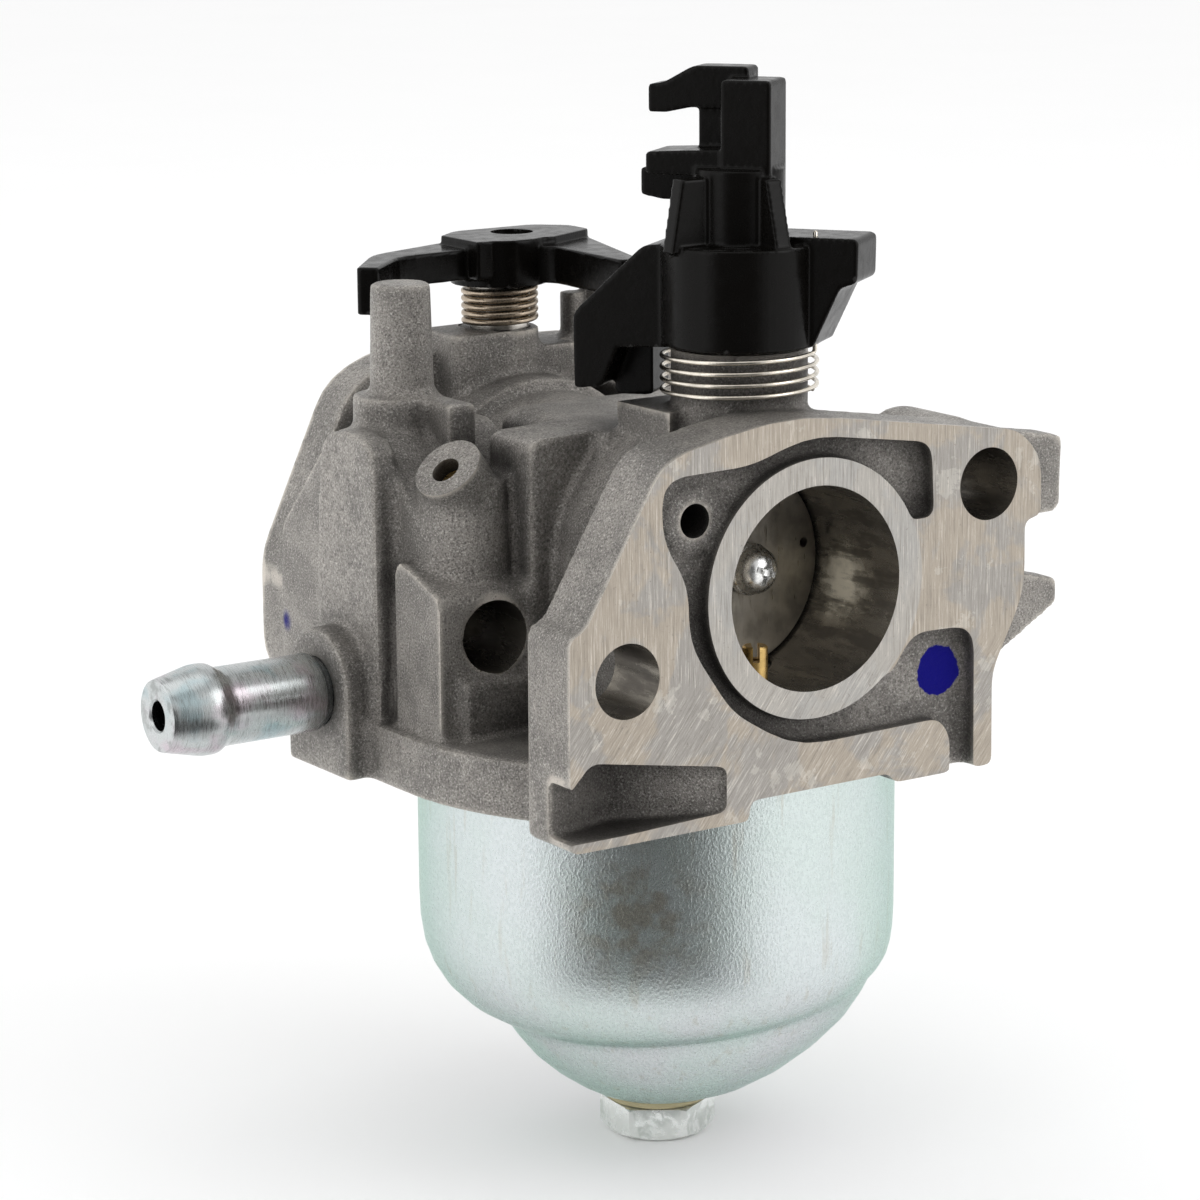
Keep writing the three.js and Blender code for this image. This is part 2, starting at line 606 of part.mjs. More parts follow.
function chokeLever() {
  const parts = join(
    barZ(0, 0, 7.4, 21.5, 31, 32), // collar
    barZ(0, 0, 4.3, 30.5, 38, 32), // core
    leverPlate([[-3.8, 36], [-3.8, 46.2, 0.4], [1, 46.2, 0.5], [1, 36]], -2.6, 2.4), // tower
    leverPlate([[0, 37.2], [8.4, 37.3, 0.3], [8.4, 39.4, 0.3], [0, 39.8]], -2.4, 3.2), // lower prong
    leverPlate([[-0.7, 43.4], [5, 43.3, 0.3], [7.4, 42.8, 0.2], [9.1, 42.8, 0.3], [9.1, 45.4, 0.3],
      [7.6, 45.6, 0.5], [4.7, 47.2, 0.6], [-0.7, 47.2, 0.4]], 0.4, 3.6), // upper prong
    leverPlate([[0, 39], [4.2, 39], [4.2, 44], [0, 44]], 0.6, 3.2), // web between the prongs
    leverPlate([[2, 34.5], [8.4, 34.4], [10.6, 34.8, 0.3], [10.6, 37.4, 0.3], [2, 37.4]], 2.4, 3.2),
    collarRib(180, 8.2, 7),
    collarRib(-90, 7.2, 5.4),
    leverPlate([[0, 21.5], [11, 21], [12.6, 17.2, 0.4], [15.4, 16.9, 0.5], [15.5, 24.1, 0.8],
      [8.4, 30.8, 0.8], [0, 31]], -3.2, 5.6), // left wing
    leverPlate([[8.8, 16, 0.5], [12.6, 15.9, 0.5], [12.8, 22], [8.8, 22]], 0.5, 5.2),
    leverPlate([[0, 21.5], [-7.6, 21.6, 0.3], [-10.2, 27.2, 0.4], [-11.8, 27.7, 0.5], [-11.9, 31.8, 0.6],
      [0, 31.8, 0.3]], -1.4, 5), // right arm
  );
  return cut(parts, barZ(0, 0, SHAFT_R + 0.05, 15, 33.5, 32))
    .rotate([0, 0, THREE.MathUtils.radToDeg(LEVER_TURN)]);
}

function throttleLever() {
  const top = 27.4;
  const hub = join(
    barZ(0, THROTTLE_Y, 5, 22.6, top, 32),
    plateZ([
      [-5, 24], [4, 23.4], [10.4, 26.6, 0.8], [10.6, 30.6, 1], [7.6, 33.4, 1], [-2, 33.4, 1], [-5, 31],
    ], 23.5, top),
  );
  const leftArm = join(
    plateZ([
      [-1.4, 33.4, 0.6], [-14.8, 28.4, 2], [-21, 20.8, 0.5], [-19.4, 19.3, 0.5], [-13.4, 25.2, 2],
      [-3, 26, 0.5],
    ], 23.4, 26.5),
    plateZ([[-19, 23.2], [-21, 20.8, 0.4], [-19.4, 19.3, 0.4], [-17.4, 21.6]], 21.8, 26.5),
  );
  const rightArm = plateZ([
    [10.6, 28], [4.6, 8.6, 0.5], [2.4, 9.2, 0.5], [3, 22, 1], [0, 25],
  ], 22.8, 26.6);
  return cut(
    join(hub, leftArm, rightArm),
    barZ(0, THROTTLE_Y, SHAFT_R + 0.05, 20, 26.6, 32),
    barZ(2.6, 29.4, 2.2, 27.2, 30, SMALL),
  );
}

// ---------------------------------------------------------------------------------------------
// Springs and seals
// ---------------------------------------------------------------------------------------------

function coilPoints(y, radius, z0, z1, turns, startAngle) {
  const perTurn = 12;
  const count = Math.round(turns * perTurn);
  return Array.from({ length: count + 1 }, (_, i) => {
    const angle = startAngle + (2 * Math.PI * i) / perTurn;
    return new THREE.Vector3(
      radius * Math.cos(angle), y + radius * Math.sin(angle), z0 + ((z1 - z0) * i) / count,
    );
  });
}

// Sunk into the top of the choke boss.
function chokeShaftSeal() {
  return ring(4.9, SHAFT_R + 0.2, SEAL_SEAT_Z, CHOKE_BOSS_TOP - 0.1, 0, CHOKE_Y, 32);
}

function chokeSpring() {
  const coil = coilPoints(CHOKE_Y, 7.2, 16.95, 21, 3.75, Math.PI / 2);
  return tube(coil, 0.35, 1.2, 3);
}

function throttleSpring() {
  const coil = coilPoints(THROTTLE_Y, 3.65, THROTTLE_BOSS_TOP + 0.5, 22.2, 4.25, 0);
  return tube(coil, 0.3, 1, 2);
}

// ---------------------------------------------------------------------------------------------
// Assembly
// ---------------------------------------------------------------------------------------------

const carburetor = new THREE.Group();
carburetor.position.z = BORE_HEIGHT;

carburetor.add(
  piece('carburetor_body', bodyCasting(), CAST),
  piece('fuel_inlet_pipe', fuelInletPipe(), ZINC),
  piece('float_bowl', floatBowl(), ZINC),
  piece('bowl_gasket', ring(BOWL_R + 0.2, BOWL_R - 1.2, BOWL_TOP + 0.1, BOWL_TOP + 1.2), RUBBER),
  piece('bowl_bolt', bowlBolt(), ZINC),
  piece('bowl_bolt_washer', ring(5.2, BOLT_R + 0.2, -56.8, -55.95, 0, 0, 32), RUBBER),
  piece('main_nozzle', mainNozzle(), BRASS),
  piece('main_jet', mainJet(), BRASS),
  piece('pilot_jet', pilotJet(), BRASS),
  piece('needle_seat', needleSeat(), BRASS),
  piece('inlet_needle', inletNeedle(), STEEL),
  piece('float', floatBody(), WHITE_PLASTIC),
  piece('float_hinge_pin', hingePin(), STEEL),
  piece('mixture_screw', mixtureScrew(), BRASS),
  piece('air_bleed_jet', airBleedJet(), BRASS),
  piece('choke_shaft', at(shaft(INLET_R, 33), CHOKE_Y, CHOKE_AJAR), STEEL),
  piece('choke_plate', at(butterfly(INLET_R), CHOKE_Y, CHOKE_AJAR), BRASS),
  piece('choke_plate_screw', at(plateScrew(), CHOKE_Y, CHOKE_AJAR), STEEL),
  piece('choke_lever', at(chokeLever(), CHOKE_Y), BLACK_PLASTIC),
  piece('choke_shaft_seal', chokeShaftSeal(), RUBBER),
  piece('choke_return_spring', chokeSpring(), STEEL),
  piece('throttle_shaft', at(shaft(THROTTLE_BORE_R, 26.4), THROTTLE_Y), STEEL),
  piece('throttle_plate', at(butterfly(THROTTLE_BORE_R), THROTTLE_Y), BRASS),
  piece('throttle_plate_screw', at(plateScrew(), THROTTLE_Y), STEEL),
  piece('throttle_lever', throttleLever(), BLACK_PLASTIC),
  piece('throttle_return_spring', throttleSpring(), STEEL),
);

export default carburetor;
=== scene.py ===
"""Looks of a float-bowl carburetor for a small engine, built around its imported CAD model.

Shapes are worked out in millimetres in the bore frame: the CAD's axes, with z = 0 on the axis of
the main bore.  finished() turns a piece into metres and puts it at its height.
"""

import json
import math

import bmesh
import bpy
from mathutils import Matrix, Vector
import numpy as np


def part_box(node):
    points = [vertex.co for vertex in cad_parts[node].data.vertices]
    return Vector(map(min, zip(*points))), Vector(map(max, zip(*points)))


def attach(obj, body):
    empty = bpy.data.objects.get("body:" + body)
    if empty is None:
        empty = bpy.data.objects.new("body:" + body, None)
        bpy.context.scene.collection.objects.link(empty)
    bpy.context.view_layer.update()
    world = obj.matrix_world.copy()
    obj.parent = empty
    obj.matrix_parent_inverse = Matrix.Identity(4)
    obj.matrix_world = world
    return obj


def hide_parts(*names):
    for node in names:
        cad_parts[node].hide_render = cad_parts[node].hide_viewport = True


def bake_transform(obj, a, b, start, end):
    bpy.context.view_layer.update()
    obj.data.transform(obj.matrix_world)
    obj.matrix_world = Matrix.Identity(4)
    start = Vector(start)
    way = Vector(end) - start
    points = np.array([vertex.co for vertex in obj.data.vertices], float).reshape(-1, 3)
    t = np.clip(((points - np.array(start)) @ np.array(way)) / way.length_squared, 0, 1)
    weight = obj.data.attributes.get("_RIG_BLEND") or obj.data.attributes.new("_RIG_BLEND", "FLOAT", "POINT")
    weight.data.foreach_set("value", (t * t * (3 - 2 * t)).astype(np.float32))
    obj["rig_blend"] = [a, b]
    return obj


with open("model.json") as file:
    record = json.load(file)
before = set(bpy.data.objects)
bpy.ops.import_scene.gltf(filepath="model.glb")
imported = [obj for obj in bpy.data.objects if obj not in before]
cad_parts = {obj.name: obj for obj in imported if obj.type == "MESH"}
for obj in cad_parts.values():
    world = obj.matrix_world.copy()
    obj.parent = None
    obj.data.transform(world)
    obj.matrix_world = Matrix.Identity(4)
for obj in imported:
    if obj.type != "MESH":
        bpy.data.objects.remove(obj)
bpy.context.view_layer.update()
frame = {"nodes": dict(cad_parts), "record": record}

# ------------------------------------------------------------------------------------------------
# Places and sizes: some read from the imported model, the others given here
# ------------------------------------------------------------------------------------------------

MM = 0.001
JOINTS = {joint["name"]: joint for joint in frame["record"]["behaviour"]["joints"]}
BORE_HEIGHT = JOINTS["choke_hinge"]["pos_m"][2] / MM
CHOKE_Y = JOINTS["choke_hinge"]["pos_m"][1] / MM
THROTTLE_Y = JOINTS["throttle_hinge"]["pos_m"][1] / MM


def node_box(node):
    """Lowest and highest corners of a CAD node, in the bore frame."""
    lift = Vector((0, 0, BORE_HEIGHT))
    low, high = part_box(node)
    return low / MM - lift, high / MM - lift


BODY_LOW, BODY_HIGH = node_box("carburetor_body")
FRONT_FACE_Y = BODY_LOW.y
REAR_FACE_Y = BODY_HIGH.y
PIPE_LOW, PIPE_HIGH = node_box("fuel_inlet_pipe")
PIPE_Y = (PIPE_LOW.y + PIPE_HIGH.y) / 2
PIPE_Z = (PIPE_LOW.z + PIPE_HIGH.z) / 2
BOWL_FOOT_Z = node_box("float_bowl")[0].z
BOLT_LOW, BOLT_HIGH = node_box("bowl_bolt")

INLET_R = 9.7  # bore at the choke plate
VENTURI_R = 6.6
THROTTLE_BORE_R = 7.6
INLET_RING_R = 12.3  # machined ring around the inlet
RECESS_DEPTH = 1.8  # of the cast recess in the front face
RECESS_Y = FRONT_FACE_Y + RECESS_DEPTH
REAR_FLANGE_FRONT_Y = 28.4
LEFT_STUD = Vector((-21.2, 0, -5.8))
RIGHT_STUD = Vector((20.4, 0, 7.6))
STUD_HOLE_R = 3.5
STUD_LUG_R = 5.6
SHAFT_R = 3.0
SHAFT_HOLE_R = 3.1
SHAFT_HOLE_FOOT = -12.5
CHOKE_BOSS_R = 6.45
CHOKE_BOSS_TOP = 21.2
SEAL_SEAT_R = 5.0
SEAL_SEAT_Z = 20.0
THROTTLE_BOSS_R = 3.95
THROTTLE_BOSS_TOP = 18.0
CHOKE_AJAR = math.radians(8)
SCREW_COLUMN = Vector((-20.8, 2, 0))  # round column under the slanted face
SLANT_CENTRE = Vector((-23.7, 0.3, 9.8))
SLANT_NORMAL = Vector((-0.64, -0.18, 0.75)).normalized()
POST = Vector((-20.1, 14, 0))  # upright stop for the throttle lever
POST_FOOT = Vector((-20.8, 14, 0))
BLEED_HOLE = Vector((-12.8, 0, 7.7))
BLEED_JET = Vector((-4.2, -22.4, 0))
DECK_TOP = -15.3  # cast rim that carries the bowl
DECK_BOTTOM = -21.0
DECK_R = 28.7
BOWL_SEAT_R = 24.0
BOWL_SEAT_Z = -18.0

STOCK = 1.4  # metal left on a face before it is machined

# Inspector's paint dabs on the raw casting: place in the row frame, radius, edge, raggedness
RECESS_DAB = ((15.8, RECESS_Y, BORE_HEIGHT - 10.3), 2.9, 0.15, 1.0)
WALL_DAB = ((-26.6, 28.4, BORE_HEIGHT - 9.7), 1.1, 0.8, 0.4)
BOWL_STAIN = (-14.5, -18, BORE_HEIGHT - 31)  # brownish patch on the plating

TO_Z = Matrix.Identity(3)
TO_Y = Matrix(((1, 0, 0), (0, 0, 1), (0, -1, 0)))
TO_X = Matrix(((0, 0, 1), (0, 1, 0), (-1, 0, 0)))


# ------------------------------------------------------------------------------------------------
# Mesh tools
# ------------------------------------------------------------------------------------------------

def mesh_object(name, points, faces):
    mesh = bpy.data.meshes.new(name)
    mesh.from_pydata([tuple(p) for p in points], [], faces)
    mesh.validate()
    piece = bpy.data.objects.new(name, mesh)
    bpy.context.scene.collection.objects.link(piece)
    return piece


def lathe(profile, segments=96, turn=TO_Z, centre=(0, 0, 0), closed=False):
    """A solid turned from (radius, height) points; a closed profile makes a ring."""
    centre = Vector(centre)
    points, rings, faces = [], [], []
    for radius, height in profile:
        if radius < 1e-6:
            rings.append([len(points)] * segments)
            points.append(centre + turn @ Vector((0, 0, height)))
            continue
        rings.append(list(range(len(points), len(points) + segments)))
        for k in range(segments):
            angle = 2 * math.pi * k / segments
            local = Vector((radius * math.cos(angle), radius * math.sin(angle), height))
            points.append(centre + turn @ local)
    pairs = list(zip(rings, rings[1:]))
    if closed:
        pairs.append((rings[-1], rings[0]))
    for lower, upper in pairs:
        for k in range(segments):
            after = (k + 1) % segments
            corners = [lower[k], lower[after], upper[after], upper[k]]
            face = list(dict.fromkeys(corners))
            if len(face) > 2:
                faces.append(face)
    solid = mesh_object("lathe", points, faces)
    face_outward(solid)
    return solid


def rod(radius, low, high, centre=(0, 0, 0), turn=TO_Z, segments=96, far_radius=None):
    far = radius if far_radius is None else far_radius
    return lathe([(0, low), (radius, low), (far, high), (0, high)], segments, turn, centre)


def block(x0, x1, y0, y1, z0, z1):
    points = [(x, y, z) for x in (x0, x1) for y in (y0, y1) for z in (z0, z1)]
    faces = [(0, 1, 3, 2), (4, 6, 7, 5), (0, 4, 5, 1), (2, 3, 7, 6), (0, 2, 6, 4), (1, 5, 7, 3)]
    return mesh_object("block", points, faces)


def swept(points, radius, sides=10):
    """A round wire along points, with domed ends."""
    path = [Vector(p) for p in points]
    count = len(path)
    tangents = [(path[min(i + 1, count - 1)] - path[max(i - 1, 0)]).normalized() for i in range(count)]
    across = tangents[0].orthogonal().normalized()
    verts, faces = [], []
    stations = [(path[0] - tangents[0] * radius * 0.6, 0, 0.5)]
    stations += [(p, i, 1.0) for i, p in enumerate(path)]
    stations += [(path[-1] + tangents[-1] * radius * 0.6, count - 1, 0.5)]
    for centre, i, scale in stations:
        across = (across - tangents[i] * across.dot(tangents[i])).normalized()
        other = tangents[i].cross(across)
        for k in range(sides):
            angle = 2 * math.pi * k / sides
            verts.append(centre + (across * math.cos(angle) + other * math.sin(angle)) * radius * scale)
    for i in range(len(stations) - 1):
        for k in range(sides):
            after = (k + 1) % sides
            low, high = i * sides, (i + 1) * sides
            faces.append((low + k, low + after, high + after, high + k))
    faces.append(list(range(sides))[::-1])
    faces.append(list(range(len(verts) - sides, len(verts))))
    wire = mesh_object("wire", verts, faces)
    face_outward(wire)
    return wire


def edit(piece, work):
    """Runs work(bm) on the piece's mesh."""
    bm = bmesh.new()
    bm.from_mesh(piece.data)
    work(bm)
    bm.to_mesh(piece.data)
    bm.free()
    piece.data.update()
    return piece


def face_outward(piece):
    edit(piece, lambda bm: bmesh.ops.recalc_face_normals(bm, faces=bm.faces))


def moved(piece, matrix):
    piece.data.transform(matrix)
    return piece


def turned_about(piece, angle, y):
    """Turns a piece about the vertical line through (0, y)."""
    shift = Matrix.Translation((0, y, 0))
    return moved(piece, shift @ Matrix.Rotation(angle, 4, "Z") @ shift.inverted())


def cad_copy(node, name):
    """A CAD node's mesh as a new closed solid in the bore frame, in millimetres."""
    piece = bpy.data.objects.new(name, frame["nodes"][node].data.copy())
    bpy.context.scene.collection.objects.link(piece)
    piece.data.materials.clear()
    piece.data.transform(Matrix.Translation((0, 0, -BORE_HEIGHT)) @ Matrix.Scale(1 / MM, 4))
    edit(piece, lambda bm: bmesh.ops.remove_doubles(bm, verts=bm.verts, dist=0.003))
    for attribute in [a.name for a in piece.data.attributes if a.domain == "CORNER"]:
        if not attribute.startswith("."):
            piece.data.attributes.remove(piece.data.attributes[attribute])
    return piece


def apply_modifiers(piece):
    graph = bpy.context.evaluated_depsgraph_get()
    old = piece.data
    piece.data = bpy.data.meshes.new_from_object(piece.evaluated_get(graph))
    piece.modifiers.clear()
    bpy.data.meshes.remove(old)
    return piece


def merged(first, *others):
    """Puts the other meshes into the first one without joining their surfaces."""
    bm = bmesh.new()
    for piece in (first, *others):
        bm.from_mesh(piece.data)
    bm.to_mesh(first.data)
    bm.free()
    for piece in others:
        bpy.data.meshes.remove(piece.data)
    return first


def fused(piece, voxel):
    """One skin around all the shells of a piece."""
    modifier = piece.modifiers.new("remesh", "REMESH")
    modifier.mode = "VOXEL"
    modifier.voxel_size = voxel
    modifier.adaptivity = 0
    return apply_modifiers(piece)


def softened(piece, rounds, factor=0.5):
    modifier = piece.modifiers.new("soften", "SMOOTH")
    modifier.factor = factor
    modifier.iterations = rounds
    return apply_modifiers(piece)


def lightened(piece, most_faces):
    faces = sum(len(p.vertices) - 2 for p in piece.data.polygons)
    if faces > most_faces:
        modifier = piece.modifiers.new("lighten", "DECIMATE")
        modifier.ratio = most_faces / faces
        apply_modifiers(piece)
    return piece


def machined(piece, *cutters):
    """Cuts the tools' shapes out of a piece and throws the tools away."""
    for cutter in cutters:
        modifier = piece.modifiers.new("cut", "BOOLEAN")
        modifier.operation = "DIFFERENCE"
        modifier.solver = "MANIFOLD"
        modifier.object = cutter
        apply_modifiers(piece)
        bpy.data.meshes.remove(cutter.data)
    return piece


def overlap_of(piece, tool):
    modifier = piece.modifiers.new("common", "BOOLEAN")
    modifier.operation = "INTERSECT"
    modifier.solver = "MANIFOLD"
    modifier.object = tool
    apply_modifiers(piece)
    bpy.data.meshes.remove(tool.data)
    return piece


def bevelled(piece, width, segments=2, angle=40):
    modifier = piece.modifiers.new("bevel", "BEVEL")
    modifier.width = width
    modifier.segments = segments
    modifier.limit_method = "ANGLE"
    modifier.angle_limit = math.radians(angle)
    return apply_modifiers(piece)


def shaded(piece, sharp_angle=35):
    piece.data.shade_smooth()
    piece.data.set_sharp_from_angle(angle=math.radians(sharp_angle))
    return piece


def as_piece(piece, name, materials, sharp_angle):
    """Turns a shape into metres at its height, names it and shades it."""
    moved(piece, Matrix.Scale(MM, 4) @ Matrix.Translation((0, 0, BORE_HEIGHT)))
    piece.name = name
    piece.data.name = name
    if materials:
        piece.data.materials.clear()
        for material in materials:
            piece.data.materials.append(material)
    return shaded(piece, sharp_angle)


def finished(piece, name, body, nodes, materials, sharp_angle=35):
    """Turns a piece into metres, shades it, and fixes it to its CAD body."""
    as_piece(piece, name, materials, sharp_angle)
    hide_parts(*nodes)
    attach(piece, body)
    return piece


# ------------------------------------------------------------------------------------------------
# Material tools
# ------------------------------------------------------------------------------------------------

class Shader:
    """A small helper that writes a node material; lengths in it are millimetres."""

    def __init__(self, name, roughness=0.5, metallic=0.0):
        self.material = bpy.data.materials.new(name)
        self.material.use_nodes = True
        self.tree = self.material.node_tree
        self.surface = self.tree.nodes["Principled BSDF"]
        self.surface.inputs["Roughness"].default_value = roughness
        self.surface.inputs["Metallic"].default_value = metallic
        place = self.tree.nodes.new("ShaderNodeTexCoord").outputs["Object"]
        self.place = self.scaled(place, (1 / MM,) * 3)

    def put(self, socket, value):
        if isinstance(value, bpy.types.NodeSocket):
            self.tree.links.new(value, socket)
        elif isinstance(value, (int, float)):
            socket.default_value = value
        else:
            socket.default_value = (*value, 1.0)[:len(socket.default_value)]

    def scaled(self, vector, scale):
        node = self.tree.nodes.new("ShaderNodeMapping")
        node.inputs["Scale"].default_value = scale
        self.tree.links.new(vector, node.inputs["Vector"])
        return node.outputs["Vector"]

    def noise(self, size, detail=3.0, stretch=(1, 1, 1), roughness=0.55, distortion=0.0, lean=0.0):
        """Noise whose features are about size millimetres, longer along a stretched axis."""
        node = self.tree.nodes.new("ShaderNodeTexNoise")
        scale = tuple(1 / s for s in stretch)
        self.tree.links.new(self.scaled(self.leaning(lean), scale), node.inputs["Vector"])
        node.inputs["Scale"].default_value = 1 / size
        node.inputs["Detail"].default_value = detail
        node.inputs["Roughness"].default_value = roughness
        node.inputs["Distortion"].default_value = distortion
        return node.outputs["Fac"]

    def leaning(self, angle):
        """The place, turned about Y by an angle."""
        node = self.tree.nodes.new("ShaderNodeMapping")
        node.inputs["Rotation"].default_value = (0, angle, 0)
        self.tree.links.new(self.place, node.inputs["Vector"])
        return node.outputs["Vector"]

    def ramp(self, value, low, high, out_low=0.0, out_high=1.0):
        node = self.tree.nodes.new("ShaderNodeMapRange")
        node.interpolation_type = "SMOOTHSTEP"
        self.put(node.inputs["Value"], value)
        node.inputs["From Min"].default_value = low
        node.inputs["From Max"].default_value = high
        node.inputs["To Min"].default_value = out_low
        node.inputs["To Max"].default_value = out_high
        return node.outputs["Result"]

    def math(self, operation, a, b=0.0):
        node = self.tree.nodes.new("ShaderNodeMath")
        node.operation = operation
        self.put(node.inputs[0], a)
        self.put(node.inputs[1], b)
        return node.outputs["Value"]

    def mix(self, factor, a, b):
        node = self.tree.nodes.new("ShaderNodeMix")
        node.data_type = "RGBA"
        self.put(node.inputs["Factor"], factor)
        self.put(node.inputs[6], a)
        self.put(node.inputs[7], b)
        return node.outputs[2]

    def axis(self, name):
        node = self.tree.nodes.new("ShaderNodeSeparateXYZ")
        self.tree.links.new(self.place, node.inputs["Vector"])
        return node.outputs[name]

    def edges(self, low=0.52, high=0.6):
        """1 on outer edges, 0 on flats and in corners."""
        node = self.tree.nodes.new("ShaderNodeNewGeometry")
        return self.ramp(node.outputs["Pointiness"], low, high)

    def near(self, point, radius, edge, ragged=0.0):
        """1 inside a ball around a point, 0 outside it; its edge can be ragged."""
        node = self.tree.nodes.new("ShaderNodeVectorMath")
        node.operation = "DISTANCE"
        self.tree.links.new(self.place, node.inputs[0])
        node.inputs[1].default_value = point
        wander = self.math("MULTIPLY", self.noise(1.2, 4), ragged)
        away = self.math("ADD", node.outputs["Value"], wander)
        return self.ramp(away, radius, radius + edge, 1.0, 0.0)

    def openness(self, reach, inside=False):
        """How far one sees from the skin: low in corners or, looking inside, on outer edges."""
        node = self.tree.nodes.new("ShaderNodeAmbientOcclusion")
        node.samples = 6
        node.inside = inside
        node.only_local = inside
        node.inputs["Distance"].default_value = reach * MM
        return node.outputs["AO"]

    def painted_corner_shade(self, reach, strength):
        """Painted shade: 0 on open faces, up to strength deep in corners and holes."""
        return self.ramp(self.openness(reach), 0.25, 0.95, strength, 0.0)

    def bump(self, *layers):
        """Layers of (height, depth in millimetres)."""
        normal = None
        for height, depth in layers:
            node = self.tree.nodes.new("ShaderNodeBump")
            node.inputs["Distance"].default_value = depth * MM
            self.tree.links.new(height, node.inputs["Height"])
            if normal is not None:
                self.tree.links.new(normal, node.inputs["Normal"])
            normal = node.outputs["Normal"]
        self.tree.links.new(normal, self.surface.inputs["Normal"])

    def set(self, **inputs):
        for name, value in inputs.items():
            self.put(self.surface.inputs[name.replace("_", " ")], value)
        return self.material


def cast_metal(name="cast_metal", edge_wear_and_highlight=0.9):
    """Shot-blasted die casting: grey, finely grained, with painted shade in the corners and pale edges that
    are partly wear and partly a painted highlight.
    """
    s = Shader(name, metallic=0.85)
    blotches = s.ramp(s.noise(6, 5, roughness=0.6), 0.38, 0.62)
    mottle = s.noise(0.9, 4, roughness=0.7)
    grain = s.noise(0.2, 3, roughness=0.75)
    tone = s.mix(blotches, (0.29, 0.275, 0.255), (0.42, 0.395, 0.365))
    tone = s.mix(s.ramp(mottle, 0.55, 0.36, 0.0, 0.25), tone, (0.19, 0.18, 0.17))
    tone = s.mix(s.ramp(grain, 0.5, 0.34, 0.0, 0.8), tone, (0.10, 0.095, 0.09))
    tone = s.mix(s.ramp(grain, 0.54, 0.68, 0.0, 0.85), tone, (0.80, 0.77, 0.73))
    # outer edges painted pale: partly edge wear, partly a painted highlight on the ridges
    outer_edges = s.ramp(s.openness(0.9, inside=True), 0.85, 0.55)
    worn_and_lit_edges = s.math("MULTIPLY", outer_edges, s.ramp(s.noise(1.8, 3), 0.3, 0.5, 0.3 * edge_wear_and_highlight, edge_wear_and_highlight))
    tone = s.mix(worn_and_lit_edges, tone, (0.84, 0.78, 0.70))
    # painted shade: corners and holes darkened nearly to black
    tone = s.mix(s.painted_corner_shade(9, 0.92), tone, (0.035, 0.032, 0.03))
    dabs = s.math("MAXIMUM", s.near(*RECESS_DAB), s.near(*WALL_DAB))
    tone = s.mix(dabs, tone, (0.008, 0.007, 0.19))
    s.bump((s.noise(1.3, 3), 0.05), (grain, 0.2))
    roughness = s.math("SUBTRACT", s.ramp(mottle, 0.25, 0.75, 0.5, 0.36), s.math("MULTIPLY", worn_and_lit_edges, 0.12))
    metallic = s.ramp(dabs, 0.0, 1.0, 0.85, 0.0)
    s.set(Specular_IOR_Level=s.ramp(dabs, 0.0, 1.0, 0.5, 0.05))
    return s.set(Base_Color=tone, Roughness=roughness, Metallic=metallic)


def machined_face():
    """Milled flange face: pale, with fine tool marks and crisp-edged stains."""
    s = Shader("machined_face", metallic=0.9)
    upright = s.noise(0.13, 4, stretch=(1, 1, 30), roughness=0.8)
    leaning = s.noise(0.15, 4, stretch=(1, 1, 18), roughness=0.8, lean=math.radians(-38))
    low = s.ramp(s.math("ADD", s.axis("Z"), s.noise(6, 2)), BORE_HEIGHT - 5.5, BORE_HEIGHT - 8.5)
    marks = s.mix(low, upright, leaning)
    stain = s.ramp(s.noise(7, 7, distortion=0.4, roughness=0.62), 0.48, 0.56)
    bare = s.ramp(s.noise(4.5, 7, distortion=0.3, roughness=0.62), 0.61, 0.625)
    specks = s.ramp(s.noise(0.4, 4, roughness=0.7), 0.62, 0.72)
    tone = s.mix(stain, (0.42, 0.37, 0.31), (0.36, 0.34, 0.315))
    tone = s.mix(s.math("MULTIPLY", bare, 0.35), tone, (0.64, 0.61, 0.55))
    ring = s.near((0, FRONT_FACE_Y, BORE_HEIGHT), INLET_RING_R, 0.2)
    tone = s.mix(s.math("MULTIPLY", ring, 0.7), tone, (0.43, 0.42, 0.40))
    tone = s.mix(s.ramp(marks, 0.5, 0.34, 0.0, 0.55), tone, (0.22, 0.20, 0.175))
    tone = s.mix(s.ramp(marks, 0.54, 0.68, 0.0, 0.55), tone, (0.80, 0.75, 0.68))
    tone = s.mix(s.math("MULTIPLY", specks, 0.6), tone, (0.20, 0.18, 0.16))
    s.bump((marks, 0.012), (s.noise(0.2, 3, roughness=0.7), 0.015))
    return s.set(Base_Color=tone, Roughness=s.ramp(marks, 0.3, 0.7, 0.45, 0.3))


PAINTED_REFLECTION_SPOT = (9.2, -18.0, BORE_HEIGHT - 2)  # painted reflection: bright golden patch on the bore wall to the right of the inlet


def bored_metal():
    """Bore wall: dull with fine circular scratches, a painted reflection in one place and painted shade in
    corners and holes.
    """
    s = Shader("bored_metal", metallic=0.85)
    rings = s.noise(0.22, 4, stretch=(14, 1, 14), roughness=0.6)
    smear = s.noise(1.6, 5, stretch=(1, 4, 1), roughness=0.65)
    tone = s.mix(s.ramp(smear, 0.4, 0.62), (0.34, 0.31, 0.26), (0.20, 0.18, 0.155))
    # painted shade: corners and holes darkened
    tone = s.mix(s.painted_corner_shade(7, 0.7), tone, (0.03, 0.027, 0.024))
    # painted reflection: a streaky bright golden patch, less metallic than the rest of the wall
    streaks = s.ramp(smear, 0.62, 0.42, 0.25, 1.0)
    painted_reflection = s.math("MULTIPLY", s.near(PAINTED_REFLECTION_SPOT, 2.0, 5.0, 3.0), streaks)
    tone = s.mix(painted_reflection, tone, (1.0, 0.92, 0.74))
    s.bump((rings, 0.012))
    s.set(Metallic=s.ramp(painted_reflection, 0.0, 1.0, 0.85, 0.3))
    return s.set(Base_Color=tone, Roughness=s.ramp(smear, 0.35, 0.65, 0.2, 0.34))


